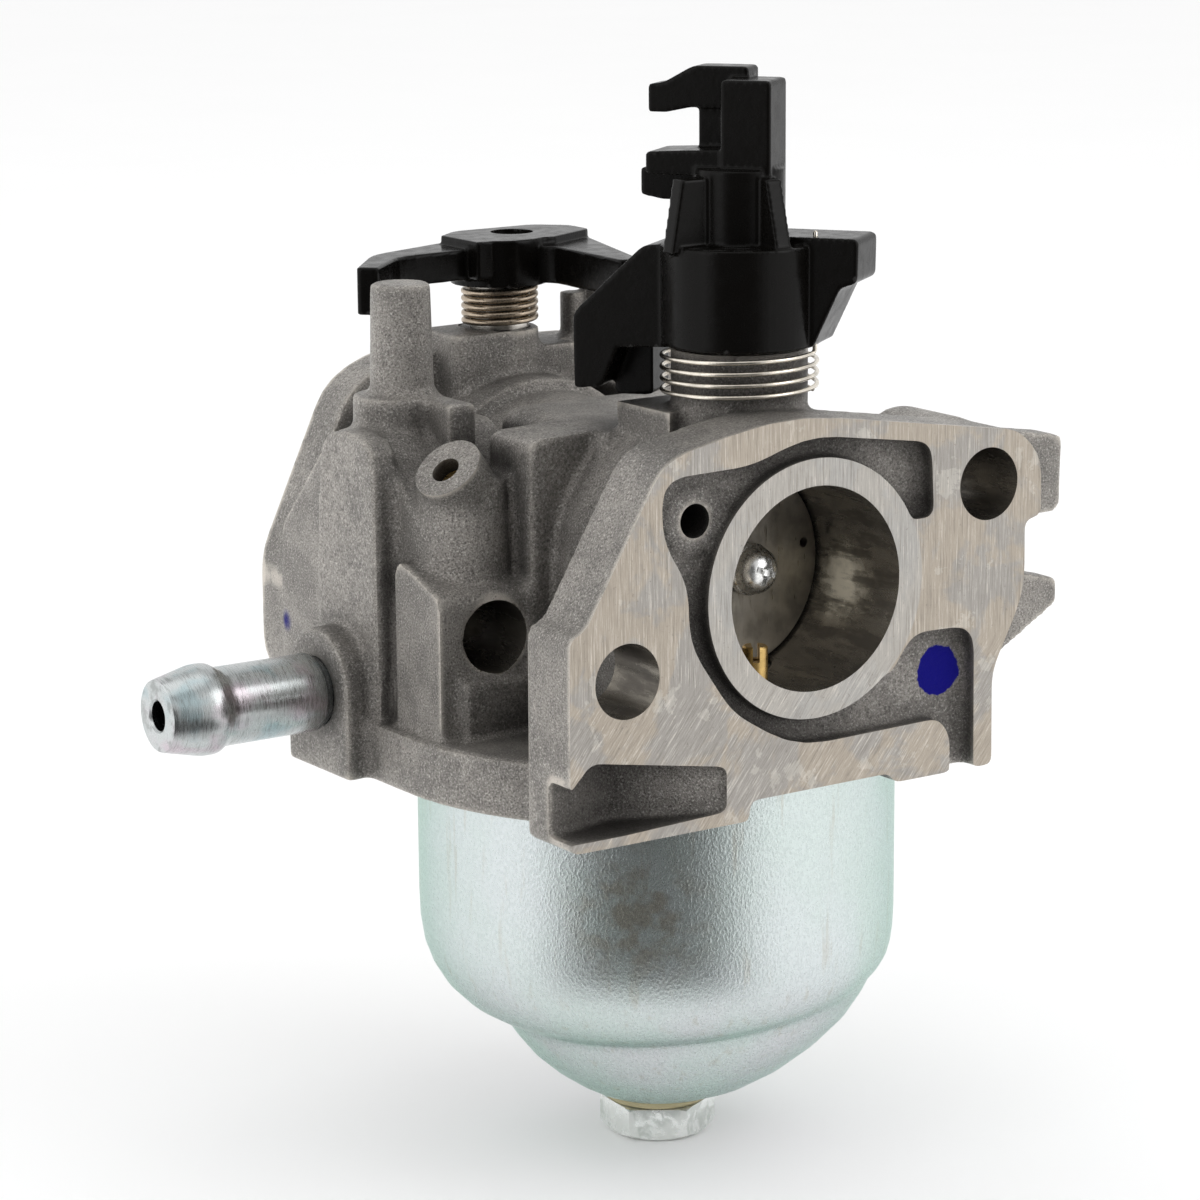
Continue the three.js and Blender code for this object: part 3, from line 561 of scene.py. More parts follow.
def bowl_zinc():
    """Pressed and zinc-plated bowl: satin, speckled, pale blue-green with pinkish shoulders."""
    s = Shader("bowl_zinc", metallic=0.95)
    speckle = s.noise(0.24, 2, stretch=(1, 1, 1.5), roughness=0.7)
    cloud = s.ramp(s.noise(14, 3), 0.35, 0.65)
    tone = s.mix(cloud, (0.66, 0.74, 0.72), (0.70, 0.75, 0.76))
    shoulder = s.ramp(s.axis("Z"), BOWL_FOOT_Z + BORE_HEIGHT + 18, BOWL_FOOT_Z + BORE_HEIGHT + 11)
    pink = s.math("MULTIPLY", shoulder, cloud)
    tone = s.mix(s.math("MULTIPLY", pink, 0.5), tone, (0.72, 0.66, 0.71))
    tone = s.mix(s.ramp(speckle, 0.36, 0.6, 0.2, 0.0), tone, (0.40, 0.45, 0.44))
    streaks = s.ramp(s.noise(1.1, 4, stretch=(1, 1, 9)), 0.56, 0.72)
    tone = s.mix(s.math("MULTIPLY", streaks, 0.35), tone, (0.50, 0.46, 0.38))
    rust = s.math("MULTIPLY", s.near(BOWL_STAIN, 2, 7), s.ramp(s.noise(2.4, 4), 0.4, 0.62))
    tone = s.mix(s.math("MULTIPLY", rust, 0.6), tone, (0.42, 0.36, 0.27))
    s.bump((speckle, 0.06))
    s.set(Specular_Tint=(0.62, 0.76, 0.70))
    return s.set(Base_Color=tone, Roughness=s.ramp(speckle, 0.3, 0.7, 0.32, 0.2))


def bright_zinc():
    """Turned and plated steel: glossy, with faint rainbow bands, fine turning marks and painted shade in its
    corners.
    """
    s = Shader("bright_zinc", metallic=1.0)
    bands = s.noise(6, 3)
    tone = s.mix(s.ramp(bands, 0.38, 0.5), (0.46, 0.56, 0.58), (0.60, 0.63, 0.63))
    tone = s.mix(s.ramp(bands, 0.52, 0.66), tone, (0.62, 0.56, 0.60))
    scratches = s.noise(0.16, 3, stretch=(1, 9, 9), roughness=0.7)
    tone = s.mix(s.ramp(scratches, 0.5, 0.34, 0.0, 0.5), tone, (0.2, 0.21, 0.2))
    # painted shade: corners and holes darkened
    tone = s.mix(s.painted_corner_shade(5, 0.9), tone, (0.03, 0.03, 0.035))
    s.bump((scratches, 0.012))
    return s.set(Base_Color=tone, Roughness=s.ramp(scratches, 0.35, 0.7, 0.22, 0.32))


def bolt_zinc():
    """Plated bolt head, blotchy from the wrench."""
    s = Shader("bolt_zinc", metallic=0.9)
    blotch = s.ramp(s.noise(1.3, 4, distortion=0.5), 0.42, 0.6)
    tone = s.mix(blotch, (0.66, 0.69, 0.66), (0.90, 0.92, 0.90))
    tone = s.mix(s.math("MULTIPLY", s.edges(0.52, 0.58), 0.6), tone, (0.92, 0.93, 0.91))
    s.bump((s.noise(0.5, 3), 0.02))
    return s.set(Base_Color=tone, Roughness=s.ramp(blotch, 0.0, 1.0, 0.42, 0.22))


def plain_metal(name, colour, roughness, scratch_size=0.25, stretch=(1, 1, 1)):
    """Bare metal with fine marks along one axis."""
    s = Shader(name, metallic=1.0)
    marks = s.noise(scratch_size, 4, stretch=stretch, roughness=0.6)
    dull = tuple(0.62 * c for c in colour)
    tone = s.mix(s.ramp(s.noise(1.8, 4), 0.4, 0.68, 0.0, 0.7), colour, dull)
    s.bump((marks, 0.008))
    return s.set(Base_Color=tone, Roughness=s.ramp(marks, 0.3, 0.7, roughness * 0.75, roughness * 1.35))


def moulded_plastic(name, colour, roughness, dust_and_edge_sheen, shine=0.35):
    """Moulded plastic with a faint orange-peel skin, and edges painted paler: partly rubbing and dust,
    partly a painted edge highlight.
    """
    s = Shader(name)
    pale = tuple(min(1.0, c * 2.5 + 0.05) for c in colour)
    # edges painted paler: partly rubbing and dust, partly a painted edge highlight
    tone = s.mix(s.math("MULTIPLY", s.edges(0.53, 0.64), dust_and_edge_sheen), colour, pale)
    s.bump((s.noise(0.7, 2), 0.012), (s.noise(0.16, 2), 0.003))
    haze = s.ramp(s.noise(1.4, 4), 0.3, 0.7, roughness * 0.8, roughness * 1.25)
    return s.set(Base_Color=tone, Roughness=haze, Specular_IOR_Level=shine)


# ------------------------------------------------------------------------------------------------
# Casting
# ------------------------------------------------------------------------------------------------

def leave_stock(casting):
    """Moves the faces that will be machined outward, so that the cut leaves crisp edges."""
    for vertex in casting.data.vertices:
        co = vertex.co
        above_slant = (co - SLANT_CENTRE).dot(SLANT_NORMAL)
        from_slant = (co - SLANT_CENTRE - SLANT_NORMAL * above_slant).length
        if abs(co.y - FRONT_FACE_Y) < 0.02:
            co.y -= STOCK
        elif abs(co.y - REAR_FACE_Y) < 0.02:
            co.y += STOCK
        elif abs(above_slant) < 0.02 and from_slant < 5:
            vertex.co = co + SLANT_NORMAL * STOCK
        elif abs(co.z - CHOKE_BOSS_TOP) < 0.02 and abs(co.y - CHOKE_Y) < 7:
            co.z += STOCK
        elif abs(co.z - THROTTLE_BOSS_TOP) < 0.02 and math.hypot(co.x, co.y - THROTTLE_Y) < 4:
            co.z += 0.2


def slant_turn():
    return Vector((0, 0, 1)).rotation_difference(SLANT_NORMAL).to_matrix()


def bore_profile(extra=0.0, overrun=1.0):
    front, rear = FRONT_FACE_Y - overrun, REAR_FACE_Y + overrun
    radii = [
        (INLET_R, front), (INLET_R, -6), (INLET_R - 0.6, -4.4), (VENTURI_R + 0.5, 1.6), (VENTURI_R, 3.6),
        (VENTURI_R, 7), (VENTURI_R + 0.3, 10), (THROTTLE_BORE_R, 15), (THROTTLE_BORE_R, rear),
    ]
    return [(0, front)] + [(r + extra, y) for r, y in radii] + [(0, rear)]


def bore_plugs():
    """Metal in the holes that will be drilled."""
    front, rear = FRONT_FACE_Y - STOCK, REAR_FACE_Y + STOCK
    stud_r = STUD_HOLE_R - 0.05
    shaft_r = SHAFT_HOLE_R - 0.05
    foot = SHAFT_HOLE_FOOT + 0.1
    return [
        lathe(bore_profile(0.25, STOCK), 96, TO_Y),
        rod(3, RECESS_Y - 0.4, -20.3, BLEED_HOLE, TO_Y),
        rod(stud_r, front, -19.2, LEFT_STUD, TO_Y),
        rod(stud_r, -2.6, rear, LEFT_STUD, TO_Y),
        rod(stud_r, front, -12.2, RIGHT_STUD, TO_Y),
        rod(stud_r, 20.2, rear, RIGHT_STUD, TO_Y),
        rod(shaft_r, foot, CHOKE_BOSS_TOP + STOCK, (0, CHOKE_Y, 0)),
        rod(shaft_r, foot, THROTTLE_BOSS_TOP, (0, THROTTLE_Y, 0)),
    ]


def casting_rounds():
    """Smooth round bosses over the CAD's faceted ones."""
    slant_boss = SLANT_CENTRE + Vector((0.2, 0, 0.17))
    return [
        rod(INLET_RING_R, FRONT_FACE_Y - STOCK, -20, turn=TO_Y, segments=128),
        rod(14.8, -19.6, -4.5, turn=TO_Y, segments=128),  # neck
        rod(12.4, -6, 21, turn=TO_Y),  # barrel
        rod(13.6, 20, REAR_FLANGE_FRONT_Y, turn=TO_Y),
        rod(CHOKE_BOSS_R, 8, CHOKE_BOSS_TOP + STOCK, (0, CHOKE_Y, 0)),
        rod(THROTTLE_BOSS_R, 8, THROTTLE_BOSS_TOP + 0.2, (0, THROTTLE_Y, 0)),
        rod(2.05, 6, 23, (13.6, 29.6, 0), segments=48),  # stop pins beside the throttle shaft
        rod(1.3, 6, 20.6, (10.1, 29.6, 0), segments=48),
        rod(6.8, -18, -2.5, SCREW_COLUMN, far_radius=6.2),
        rod(5.9, -18, 7.5, SCREW_COLUMN, far_radius=4.45),
        rod(3.4, -7, STOCK, slant_boss, slant_turn()),
        rod(4.2, -17, 14.9, POST_FOOT),
        rod(3.15, 14, 25.75, POST, far_radius=2.9),
        rod(5.8, BODY_LOW.x, -20, (0, PIPE_Y, PIPE_Z + 0.4), TO_X),
        rod(STUD_LUG_R, -20, -12, RIGHT_STUD, TO_Y),
        rod(STUD_LUG_R, 20, REAR_FLANGE_FRONT_Y, RIGHT_STUD, TO_Y),
        rod(0.5, DECK_BOTTOM, DECK_TOP + 0.4, (-24.1, -15.3, 0), segments=24),  # rib on the rim
    ]


def deck_rim():
    """Smooth front and left edge of the rim that carries the bowl."""
    rim = rod(DECK_R, DECK_BOTTOM, DECK_TOP, segments=160)
    return machined(
        rim,
        block(-40, 40, -40, -19.6, -30, 0),
        block(9, 40, -40, 40, -30, 0),
        block(-40, 40, 0, 40, -30, 0),
        rod(BOWL_SEAT_R, -30, BOWL_SEAT_Z, segments=128),
        rod(20, -30, 0, segments=64),
    )


def casting_cutters():
    """Everything that is milled, turned or drilled."""
    far = 60
    front, rear = FRONT_FACE_Y - 4, REAR_FACE_Y + 4
    bowl_seat = [(20, -40), (BOWL_SEAT_R, -40), (BOWL_SEAT_R, BOWL_SEAT_Z), (20, BOWL_SEAT_Z)]
    return [
        block(-far, far, FRONT_FACE_Y - 20, FRONT_FACE_Y, -far, far),
        block(-far, far, REAR_FACE_Y, REAR_FACE_Y + 20, -far, far),
        lathe(bowl_seat, 128, closed=True),
        lathe(bore_profile(0, 4), 128, TO_Y),
        rod(STUD_HOLE_R, front, rear, LEFT_STUD, TO_Y),
        rod(STUD_HOLE_R, front, rear, RIGHT_STUD, TO_Y),
        rod(SHAFT_HOLE_R, SHAFT_HOLE_FOOT, 30, (0, CHOKE_Y, 0), segments=64),
        rod(SHAFT_HOLE_R, SHAFT_HOLE_FOOT, 30, (0, THROTTLE_Y, 0), segments=64),
        rod(8, CHOKE_BOSS_TOP, 26, (0, CHOKE_Y, 0)),
        rod(4.3, THROTTLE_BOSS_TOP, 26, (0, THROTTLE_Y, 0)),
        rod(5.2, 0, 6, SLANT_CENTRE, slant_turn()),
        rod(1.4, -8, 6, SLANT_CENTRE, slant_turn(), segments=48),  # mixture screw
        rod(SEAL_SEAT_R, SEAL_SEAT_Z, 30, (0, CHOKE_Y, 0)),
        rod(3.45, -40, -22, (0, PIPE_Y, PIPE_Z), TO_X, segments=64),
        rod(1.6, front, -20.6, BLEED_HOLE, TO_Y, segments=48),
        rod(1.3, -12.6, -8, BLEED_JET, segments=48),
    ]


def from_axis(point, axis):
    """Distance from a line along Y."""
    return math.hypot(point.x - axis.x, point.z - axis.z)


def sort_casting_faces(casting):
    """Material 0 is cast skin, 1 a milled face, 2 a bored wall, 3 the slanted face, cast skin without the
    pale worn and painted-highlight edges.
    """
    for polygon in casting.data.polygons:
        c, n = polygon.center, polygon.normal
        polygon.material_index = 0
        if n.y < -0.99 and abs(c.y - FRONT_FACE_Y) < 0.02:
            polygon.material_index = 1
        elif n.y > 0.99 and abs(c.y - REAR_FACE_Y) < 0.02:
            polygon.material_index = 1
        elif n.z > 0.99 and abs(c.z - CHOKE_BOSS_TOP) < 0.02 and abs(c.y - CHOKE_Y) < 8:
            polygon.material_index = 1
        elif math.hypot(c.x, c.z) < INLET_R + 0.03 and FRONT_FACE_Y < c.y < REAR_FACE_Y:
            polygon.material_index = 2
        elif abs(from_axis(c, LEFT_STUD) - STUD_HOLE_R) < 0.03:
            polygon.material_index = 2
        elif abs(from_axis(c, RIGHT_STUD) - STUD_HOLE_R) < 0.03:
            polygon.material_index = 2
        elif n.dot(SLANT_NORMAL) > 0.99 and (c - SLANT_CENTRE).length < 5:
            polygon.material_index = 3


def build_casting():
    casting = cad_copy("carburetor_body", "casting")
    leave_stock(casting)
    merged(casting, *bore_plugs(), *casting_rounds(), deck_rim())
    fused(casting, 0.38)
    softened(casting, 4)
    lightened(casting, 180000)
    machined(casting, *casting_cutters())
    casting.data.materials.clear()
    skins = (cast_metal(), machined_face(), bored_metal(), cast_metal("cut_casting", 0.0))
    for material in skins:
        casting.data.materials.append(material)
    sort_casting_faces(casting)
    finished(casting, "casting", "body", ["carburetor_body"], [], 32)


# ------------------------------------------------------------------------------------------------
# Fuel side
# ------------------------------------------------------------------------------------------------

def build_inlet_pipe():
    """Turned hose pipe with a barb, pressed into the casting."""
    end = PIPE_LOW.x
    seat = BODY_LOW.x
    bore = 1.45
    profile = [
        (bore, end + 7), (bore, end + 0.2), (bore + 0.2, end), (3.3, end), (3.45, end + 0.06),
        (3.55, end + 0.3), (4.3, end + 3.5), (4.4, end + 4), (4.42, end + 4.6), (4.4, end + 5.2),
        (4.3, end + 5.55), (3.95, end + 6.1), (3.85, end + 6.4), (3.83, end + 7), (3.83, end + 14),
        (3.85, seat - 1.0), (3.8, seat - 0.8), (3.4, seat - 0.5), (3.4, -22.4), (bore, -22.4),
        (bore, -24),
    ]
    pipe = lathe(profile, 96, TO_X, (0, PIPE_Y, PIPE_Z), closed=True)
    finished(pipe, "inlet_pipe", "body", ["fuel_inlet_pipe"], [bright_zinc()], 38)


# Outer skin of the bowl: each ring by its left and right ends (x, height), left end first.
BOWL_RINGS = [
    ((-23.66, -19.4), (23.66, -19.4)), ((-23.66, -27), (23.66, -27)), ((-23.66, -34.6), (23.66, -34.6)),
    ((-23.56, -37.2), (23.66, -36.6)), ((-23.2, -39.5), (23.6, -38.4)), ((-22.5, -41.4), (23.5, -39.6)),
    ((-21.4, -43.2), (23.35, -40.5)), ((-19.8, -44.8), (23.15, -41.1)), ((-18.0, -45.9), (22.95, -41.6)),
    ((-16.4, -46.5), (22.75, -42.1)), ((-15.6, -47.1), (22.35, -42.9)), ((-15.1, -48.0), (21.7, -44.3)),
    ((-14.1, -49.5), (20.2, -46.7)), ((-12.6, -51.4), (17.6, -49.4)), ((-10.7, -53.1), (14.2, -52.2)),
    ((-8.7, -54.5), (10.6, -54.4)), ((-7.1, -55.4), (7.6, -55.5)), ((-6.2, -55.8), (6.2, -55.8)),
]
BOWL_WALL = 0.9
BOLT_HOLE_R = 3.7


def bowl_ring(left, right, shrink, lift, segments):
    """One tilted ring of the bowl's skin."""
    centre = (left[0] + right[0]) / 2
    radius = (right[0] - left[0]) / 2 - shrink
    middle = (left[1] + right[1]) / 2 + lift
    slope = (right[1] - left[1]) / (right[0] - left[0])
    ring = []
    for k in range(segments):
        angle = 2 * math.pi * k / segments
        x = radius * math.cos(angle)
        ring.append((centre + x, radius * math.sin(angle), middle + slope * x))
    return ring


def bridge(rings):
    """Faces between rings of equal length; the last ring joins the first."""
    count = len(rings[0])
    faces = []
    for i in range(len(rings)):
        low, high = i * count, (i + 1) % len(rings) * count
        for k in range(count):
            after = (k + 1) % count
            faces.append((low + k, low + after, high + after, high + k))
    return faces


def build_bowl():
    segments = 160
    outside = [bowl_ring(left, right, 0, 0, segments) for left, right in BOWL_RINGS]
    inside = [bowl_ring(left, right, BOWL_WALL, 0.5 * BOWL_WALL if left[1] < -40 else 0, segments)
              for left, right in BOWL_RINGS[:-2]]
    floor = BOWL_RINGS[-1][0][1]
    rim = [[(BOLT_HOLE_R * math.cos(2 * math.pi * k / segments),
             BOLT_HOLE_R * math.sin(2 * math.pi * k / segments), z) for k in range(segments)]
           for z in (floor, floor + BOWL_WALL)]
    rings = outside + rim + inside[::-1]
    bowl = mesh_object("bowl", [p for ring in rings for p in ring], bridge(rings))
    face_outward(bowl)
    finished(bowl, "bowl", "body", ["float_bowl"], [bowl_zinc()], 40)


def build_bowl_bolt():
    """Hex bolt with a chamfered head."""
    foot, under_head = BOLT_LOW.z, -56.9
    hex_r = 10 / math.sqrt(3)
    head = lathe([(0, foot), (hex_r, foot), (hex_r, under_head), (0, under_head)], 6)
    turned_about(head, math.radians(26), 0)
    chamfer = lathe([
        (0, foot), (4.5, foot), (4.75, foot + 0.1), (5.8, foot + 0.75), (5.8, under_head - 0.2),
        (5.4, under_head), (0, under_head),
    ], 96)
    overlap_of(head, chamfer)
    bevelled(head, 0.12)
    shank = rod(3, under_head - 0.1, BOLT_HIGH.z, segments=64)
    merged(head, shank)
    finished(head, "bolt", "body", ["bowl_bolt"], [bolt_zinc()], 30)


def build_washer():
    low, high = node_box("bowl_bolt_washer")
    profile = [
        (3.3, low.z), (5.0, low.z), (5.15, low.z + 0.12), (5.2, low.z + 0.3), (5.15, high.z - 0.15),
        (5.0, high.z), (3.3, high.z),
    ]
    washer = lathe(profile, 96, closed=True)
    fibre = moulded_plastic("fibre_washer", (0.42, 0.37, 0.22), 0.6, 0.3)
    finished(washer, "washer", "body", ["bowl_bolt_washer"], [fibre], 40)


# ------------------------------------------------------------------------------------------------
# Butterflies
# ------------------------------------------------------------------------------------------------

def pan_head_screw(y_shaft):
    """Cross-recessed pan head, seen in the middle of a butterfly."""
    profile = [
        (0, 3.88), (0.8, 3.82), (1.4, 3.62), (1.85, 3.28), (2.16, 2.82), (2.3, 2.3), (2.34, 1.9),
        (2.5, 1.8), (2.5, 1.2), (2.4, 1.1), (0.8, 1.1), (0.8, -2.5), (0, -2.5),
    ]
    head = lathe(profile[::-1], 64, Matrix(((1, 0, 0), (0, 0, -1), (0, 1, 0))))
    for turn in (0, math.pi / 2):
        slot = block(-1.3, 1.3, -5, -2.9, -0.28, 0.28)
        moved(slot, Matrix.Rotation(turn, 4, "Y"))
        machined(head, slot)
    machined(head, rod(0.6, -5, -2.4, turn=TO_Y, segments=24))
    bevelled(head, 0.05)
    moved(head, Matrix.Translation((0, y_shaft, 0)) @ Matrix.Rotation(math.radians(20), 4, "Y"))
    return head


def half_round_shaft(bore_r, top, y_shaft):
    profile = [(0, -12.2), (2.8, -12.2), (3, -12), (3, top - 0.3), (2.7, top), (0, top)]
    shaft = lathe(profile, 96)
    flat = block(-5, 5, -5, 0, 0.2 - bore_r, bore_r - 0.2)
    screw_hole = rod(0.9, -5, 5, turn=TO_Y, segments=32)
    machined(shaft, flat, screw_hole)
    return moved(shaft, Matrix.Translation((0, y_shaft, 0)))


def butterfly(bore_r, y_shaft):
    r = bore_r - 0.25
    profile = [(0, -0.9), (r - 0.15, -0.9), (r, -0.75), (r, -0.25), (r - 0.15, -0.1), (0, -0.1)]
    disc = lathe(profile, 128, TO_Y)
    machined(
        disc,
        rod(1.1, -5, 5, turn=TO_Y, segments=32),
        rod(0.5, -5, 5, (bore_r - 2, 0, 1.4), TO_Y, segments=32),
    )
    return moved(disc, Matrix.Translation((0, y_shaft, 0)))


def build_butterflies(metals):
    for body, y_shaft, bore_r, turn in (
        ("choke", CHOKE_Y, INLET_R, CHOKE_AJAR),
        ("throttle", THROTTLE_Y, THROTTLE_BORE_R, 0),
    ):
        top = node_box(body + "_shaft")[1].z
        pieces = {
            "shaft": (half_round_shaft(bore_r, top, y_shaft), "bright_steel", metals["steel"]),
            "plate": (butterfly(bore_r, y_shaft), "plate_metal", metals["plate"]),
            "plate_screw": (pan_head_screw(y_shaft), "bright_steel", metals["chrome"]),
        }
        for part, (piece, slot, material) in pieces.items():
            turned_about(piece, turn, y_shaft)
            node = f"{body}_{part}"
            finished(piece, node + "_fine", body, [node], [material], 35)


# ------------------------------------------------------------------------------------------------
# Levers
# ------------------------------------------------------------------------------------------------

def build_choke_lever(plastic):
    lever = cad_copy("choke_lever", "choke_lever")
    centre = (0, CHOKE_Y, 0)
    drum = rod(7.4, 21.5, 31, centre, segments=128)
    core = rod(4.3, 30.5, 38, centre, segments=128)
    plug = rod(SHAFT_R, 21.6, 33.4, centre)
    merged(lever, plug, drum, core)
    fused(lever, 0.17)
    softened(lever, 4)
    lightened(lever, 60000)
    machined(lever, rod(SHAFT_R + 0.05, 18, 33.5, centre, segments=64))
    nodes = ["choke_lever"]
    finished(lever, "choke_lever_moulding", "choke", nodes, [plastic], 50)


def build_throttle_lever(plastic):
    lever = cad_copy("throttle_lever", "throttle_lever")
    merged(lever, rod(5, 22.6, 27.4, (0, THROTTLE_Y, 0), segments=128))
    fused(lever, 0.17)
    softened(lever, 4)
    lightened(lever, 50000)
    machined(
        lever,
        rod(SHAFT_R + 0.05, 18, 26.6, (0, THROTTLE_Y, 0), segments=64),
        rod(2.2, 27.0, 30, (2.6, 29.4, 0), segments=64),
    )
    nodes = ["throttle_lever"]
    finished(lever, "throttle_lever_moulding", "throttle", nodes, [plastic], 50)


# ------------------------------------------------------------------------------------------------
# Springs
# ------------------------------------------------------------------------------------------------

CHOKE_SPRING_END = math.radians(-53.8)  # heading of the end leg from the choke shaft
CHOKE_SPRING_START = CHOKE_SPRING_END - 3.9 * 2 * math.pi


def coil_points(y, radius, low, high, turns, start, per_turn=48):
    count = round(turns * per_turn)
    points = []
    for i in range(count + 1):
        angle = start + 2 * math.pi * i / per_turn
        height = low + (high - low) * i / count
        points.append(Vector((radius * math.cos(angle), y + radius * math.sin(angle), height)))
    return points


def build_springs(steel, worn_steel):
    """The choke spring's free end goes up through the lever's right arm and turns with it."""
    coils = coil_points(CHOKE_Y, 7.3, 16.7, 20.9, 3.9, CHOKE_SPRING_START)
    last = coils[-1]
    leg = [last + Vector((0.1, -0.1, 0.3 + k)) for k in range(12)]
    choke = swept([*coils, *leg], 0.22)
    as_piece(choke, "choke_spring", [steel], 60)
    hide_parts("choke_return_spring")
    start = (0, CHOKE_Y * MM, (BORE_HEIGHT + 20.3) * MM)
    end = (0, CHOKE_Y * MM, (BORE_HEIGHT + 21.2) * MM)
    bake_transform(choke, "body", "choke", start, end)

    throttle = swept(coil_points(THROTTLE_Y, 3.65, THROTTLE_BOSS_TOP + 0.4, 22.2, 5, 0), 0.33)
    nodes = ["throttle_return_spring"]
    finished(throttle, "throttle_spring", "body", nodes, [worn_steel], 60)


def build_bleed_jet(brass):
    """Slotted brass jet on the floor of the inlet."""
    profile = [(0, -12), (0.95, -12), (0.95, -9), (1.2, -8.9), (1.2, -5.65), (1.05, -5.5), (0, -5.5)]
    jet = lathe(profile, 48, centre=BLEED_JET)
    x, y = BLEED_JET.xy
    slot = turned_about(block(-0.32, 0.32, -2, 2, -6.9, -5), math.radians(-30), 0)
    machined(jet, moved(slot, Matrix.Translation((x, y, 0))), rod(0.4, -8, -5, BLEED_JET, segments=24))
    bevelled(jet, 0.06)
    finished(jet, "bleed_jet", "body", ["air_bleed_jet"], [brass], 35)


# ------------------------------------------------------------------------------------------------
# CAD nodes that stay
# ------------------------------------------------------------------------------------------------

def dress_kept_nodes(metals, rubber, white):
    finishes = {
        "bowl_gasket": rubber, "choke_shaft_seal": rubber, "main_nozzle": metals["brass"],
        "main_jet": metals["brass"], "pilot_jet": metals["brass"], "needle_seat": metals["brass"],
        "inlet_needle": metals["steel"], "float_hinge_pin": metals["steel"], "float": white,
        "mixture_screw": metals["brass"],
    }
    for node, material in finishes.items():
        piece = frame["nodes"][node]
        piece.data.materials.clear()
        piece.data.materials.append(material)


# ------------------------------------------------------------------------------------------------
# Studio
# ------------------------------------------------------------------------------------------------

SHADED_SIDE = Vector((-0.600, -0.770, 0.0)).normalized()  # where the dark room behind the camera is


def is_glossy(tree):
    return tree.nodes.new("ShaderNodeLightPath").outputs["Is Glossy Ray"]


def vector_math(tree, operation, first, second=None):
    node = tree.nodes.new("ShaderNodeVectorMath")
    node.operation = operation
    tree.links.new(first, node.inputs[0])
    if second is not None:
        node.inputs[1].default_value = second
    return node


def build_floor():
    """Pale paper; polished metal sees it dark towards the camera, as in a shaded studio."""
    size = 3.0
    points = [(-size, -size, 0), (size, -size, 0), (size, size, 0), (-size, size, 0)]
    floor = mesh_object("floor", points, [(0, 1, 2, 3)])
    s = Shader("floor_paper", roughness=0.9)
    s.bump((s.noise(2.0, 2), 0.01))
    paper = s.mix(s.noise(60, 2), (0.95, 0.95, 0.95), (0.97, 0.97, 0.97))
    away = vector_math(s.tree, "LENGTH", s.place).outputs["Value"]
    heading = vector_math(s.tree, "NORMALIZE", s.place).outputs["Vector"]
    facing = vector_math(s.tree, "DOT_PRODUCT", heading, SHADED_SIDE).outputs["Value"]
    shade = s.math("MULTIPLY", s.ramp(away, 30, 75), s.ramp(facing, 0.66, 0.93))
    shade = s.math("MULTIPLY", shade, is_glossy(s.tree))
    floor.data.materials.append(s.set(Base_Color=s.mix(shade, paper, (0.06, 0.06, 0.06))))


def area_light(name, place, aim, size, power, colour=(1, 1, 1)):
    data = bpy.data.lights.new(name, "AREA")
    data.shape = "RECTANGLE"
    data.size, data.size_y = size
    data.energy = power
    data.color = colour
    light = bpy.data.objects.new(name, data)
    light.location = place
    light.rotation_euler = (Vector(aim) - Vector(place)).to_track_quat("-Z", "Y").to_euler()
    bpy.context.scene.collection.objects.link(light)


def sky_patch(tree, direction, start, end, strength):
    """A soft round patch of light (or, below zero, of shade) around a direction of the sky."""
    view = tree.nodes["sky direction"].outputs["Generated"]
    dot = vector_math(tree, "DOT_PRODUCT", view, Vector(direction).normalized())
    patch = tree.nodes.new("ShaderNodeMapRange")
    patch.interpolation_type = "SMOOTHSTEP"
    tree.links.new(dot.outputs["Value"], patch.inputs["Value"])
    patch.inputs["From Min"].default_value = start
    patch.inputs["From Max"].default_value = end
    patch.inputs["To Max"].default_value = strength
    return patch.outputs["Result"]


def added(tree, first, second):
    node = tree.nodes.new("ShaderNodeMath")
    tree.links.new(first, node.inputs[0])
    if isinstance(second, float):
        node.inputs[1].default_value = second
    else:
        tree.links.new(second, node.inputs[1])
    return node.outputs["Value"]


def build_sky():
    """Even white light; reflections see a white tent that is open and dark towards the camera."""
    world = bpy.data.worlds.new("studio")
    bpy.context.scene.world = world
    world.use_nodes = True
    tree = world.node_tree
    tree.nodes.new("ShaderNodeTexCoord").name = "sky direction"
    tent = sky_patch(tree, SHADED_SIDE, 0.66, 0.93, -0.8)
    for patch in (
        ((0.54, -0.81, 0.28), 0.955, 0.985, 1.6),
        ((-0.89, 0.45, 0.2), 0.8, 0.95, 0.35),
        ((0, 0, 1), 0.5, 0.9, -0.3),
    ):
        tent = added(tree, tent, sky_patch(tree, *patch))
    strength = tree.nodes.new("ShaderNodeMix")
    strength.inputs[2].default_value = 1.0
    tree.links.new(is_glossy(tree), strength.inputs[0])
    tree.links.new(added(tree, tent, 0.88), strength.inputs[3])
    background = tree.nodes["Background"]
    background.inputs["Color"].default_value = (1, 1, 1, 1)
    tree.links.new(strength.outputs[0], background.inputs["Strength"])


def build_lights():
    aim = (0, 0, 0.055)
    area_light("key", (0.55, -0.75, 0.75), aim, (0.6, 0.6), 1.6)
    area_light("top", (-0.1, 0.1, 0.95), aim, (0.7, 0.7), 0.9)
    area_light("left", (-0.9, -0.1, 0.35), aim, (0.35, 0.8), 0.6)


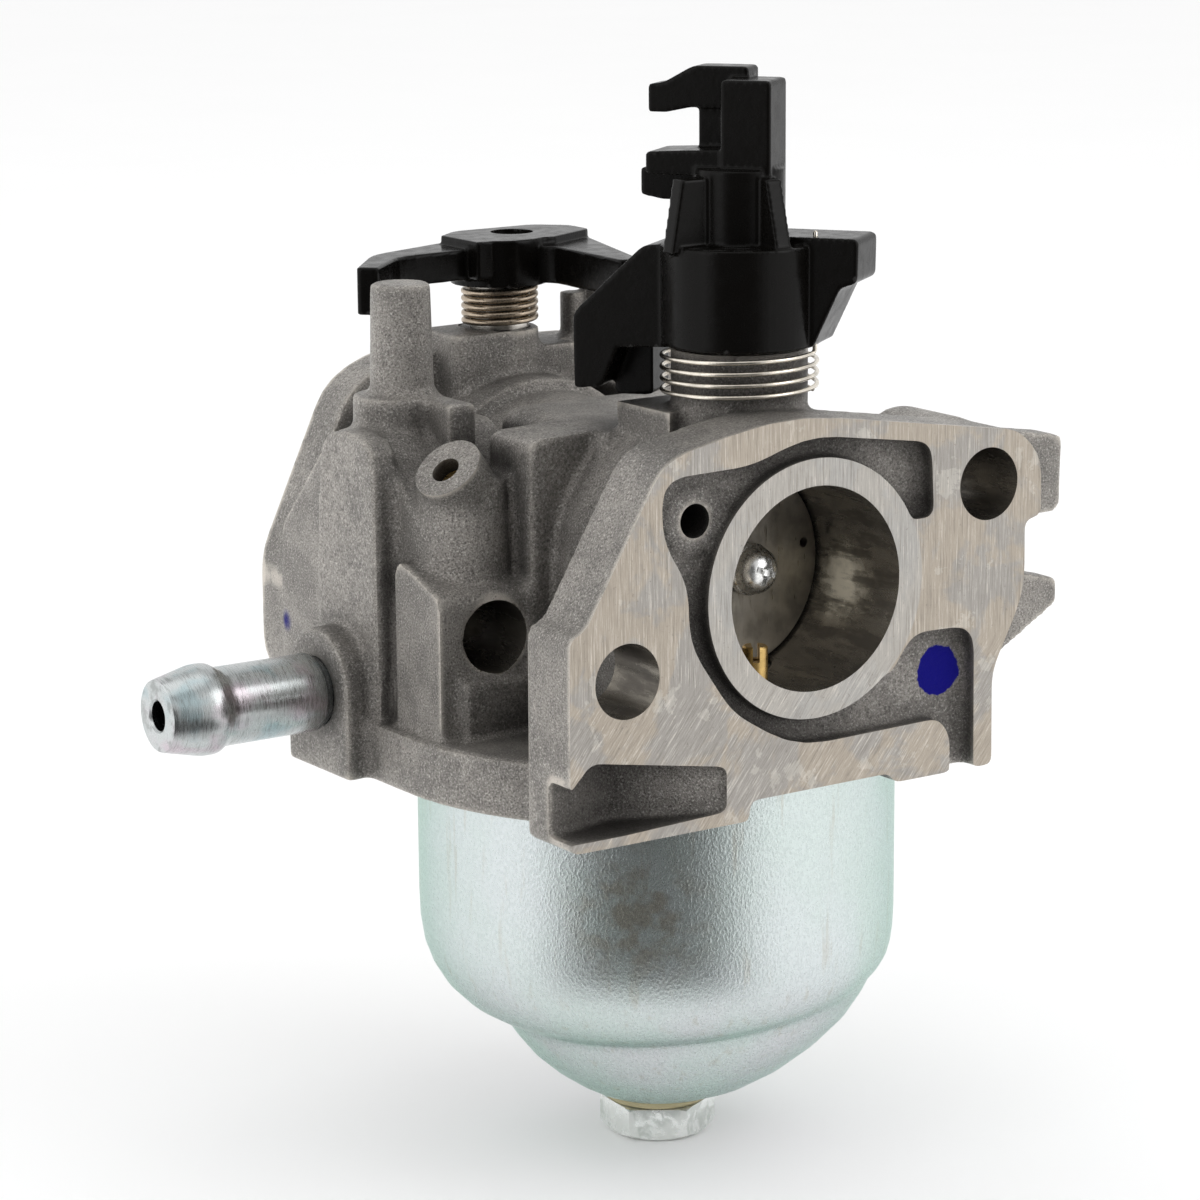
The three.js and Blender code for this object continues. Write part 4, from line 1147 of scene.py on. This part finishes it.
CAMERA_PLACE = Vector((-0.21146, -0.30597, 0.13758))
CAMERA_RIGHT = Vector((0.8299, -0.5579, -0.0074))
CAMERA_UP = Vector((0.1276, 0.1768, 0.9759))
CAMERA_LENS = 116.32


def build_camera():
    data = bpy.data.cameras.new("camera")
    data.lens = CAMERA_LENS
    data.sensor_width = 36
    data.clip_start = 0.01
    camera = bpy.data.objects.new("camera", data)
    right = CAMERA_RIGHT.normalized()
    back = right.cross(CAMERA_UP).normalized()
    up = back.cross(right)
    turn = Matrix((right, up, back)).transposed()
    camera.matrix_world = Matrix.Translation(CAMERA_PLACE) @ turn.to_4x4()
    bpy.context.scene.collection.objects.link(camera)
    bpy.context.scene.camera = camera
    bpy.context.scene.view_settings.view_transform = "Standard"


# ------------------------------------------------------------------------------------------------
# Scene
# ------------------------------------------------------------------------------------------------

def main():
    metals = {
        "steel": plain_metal("bright_steel", (0.62, 0.59, 0.54), 0.26, 0.2, (12, 12, 1)),
        "chrome": plain_metal("screw_chrome", (0.94, 0.94, 0.93), 0.26, 0.3),
        "plate": plain_metal("plate_metal", (0.46, 0.43, 0.38), 0.36, 0.25, (1, 1, 9)),
        "brass": plain_metal("brass", (0.66, 0.45, 0.17), 0.32, 0.2),
        "spring": plain_metal("spring_wire", (0.86, 0.80, 0.70), 0.2, 0.2),
        "worn_spring": plain_metal("worn_spring_wire", (0.52, 0.43, 0.33), 0.3, 0.2),
    }
    plastic = moulded_plastic("black_plastic", (0.003, 0.0026, 0.0022), 0.24, 0.35, 0.12)
    rubber = moulded_plastic("black_rubber", (0.01, 0.01, 0.01), 0.7, 0.15)
    white = moulded_plastic("float_plastic", (0.62, 0.58, 0.5), 0.45, 0.1)

    build_casting()
    build_inlet_pipe()
    build_bowl()
    build_bowl_bolt()
    build_washer()
    build_butterflies(metals)
    build_choke_lever(plastic)
    build_throttle_lever(plastic)
    build_springs(metals["spring"], metals["worn_spring"])
    build_bleed_jet(metals["brass"])
    dress_kept_nodes(metals, rubber, white)

    build_floor()
    build_sky()
    build_lights()
    build_camera()


main()
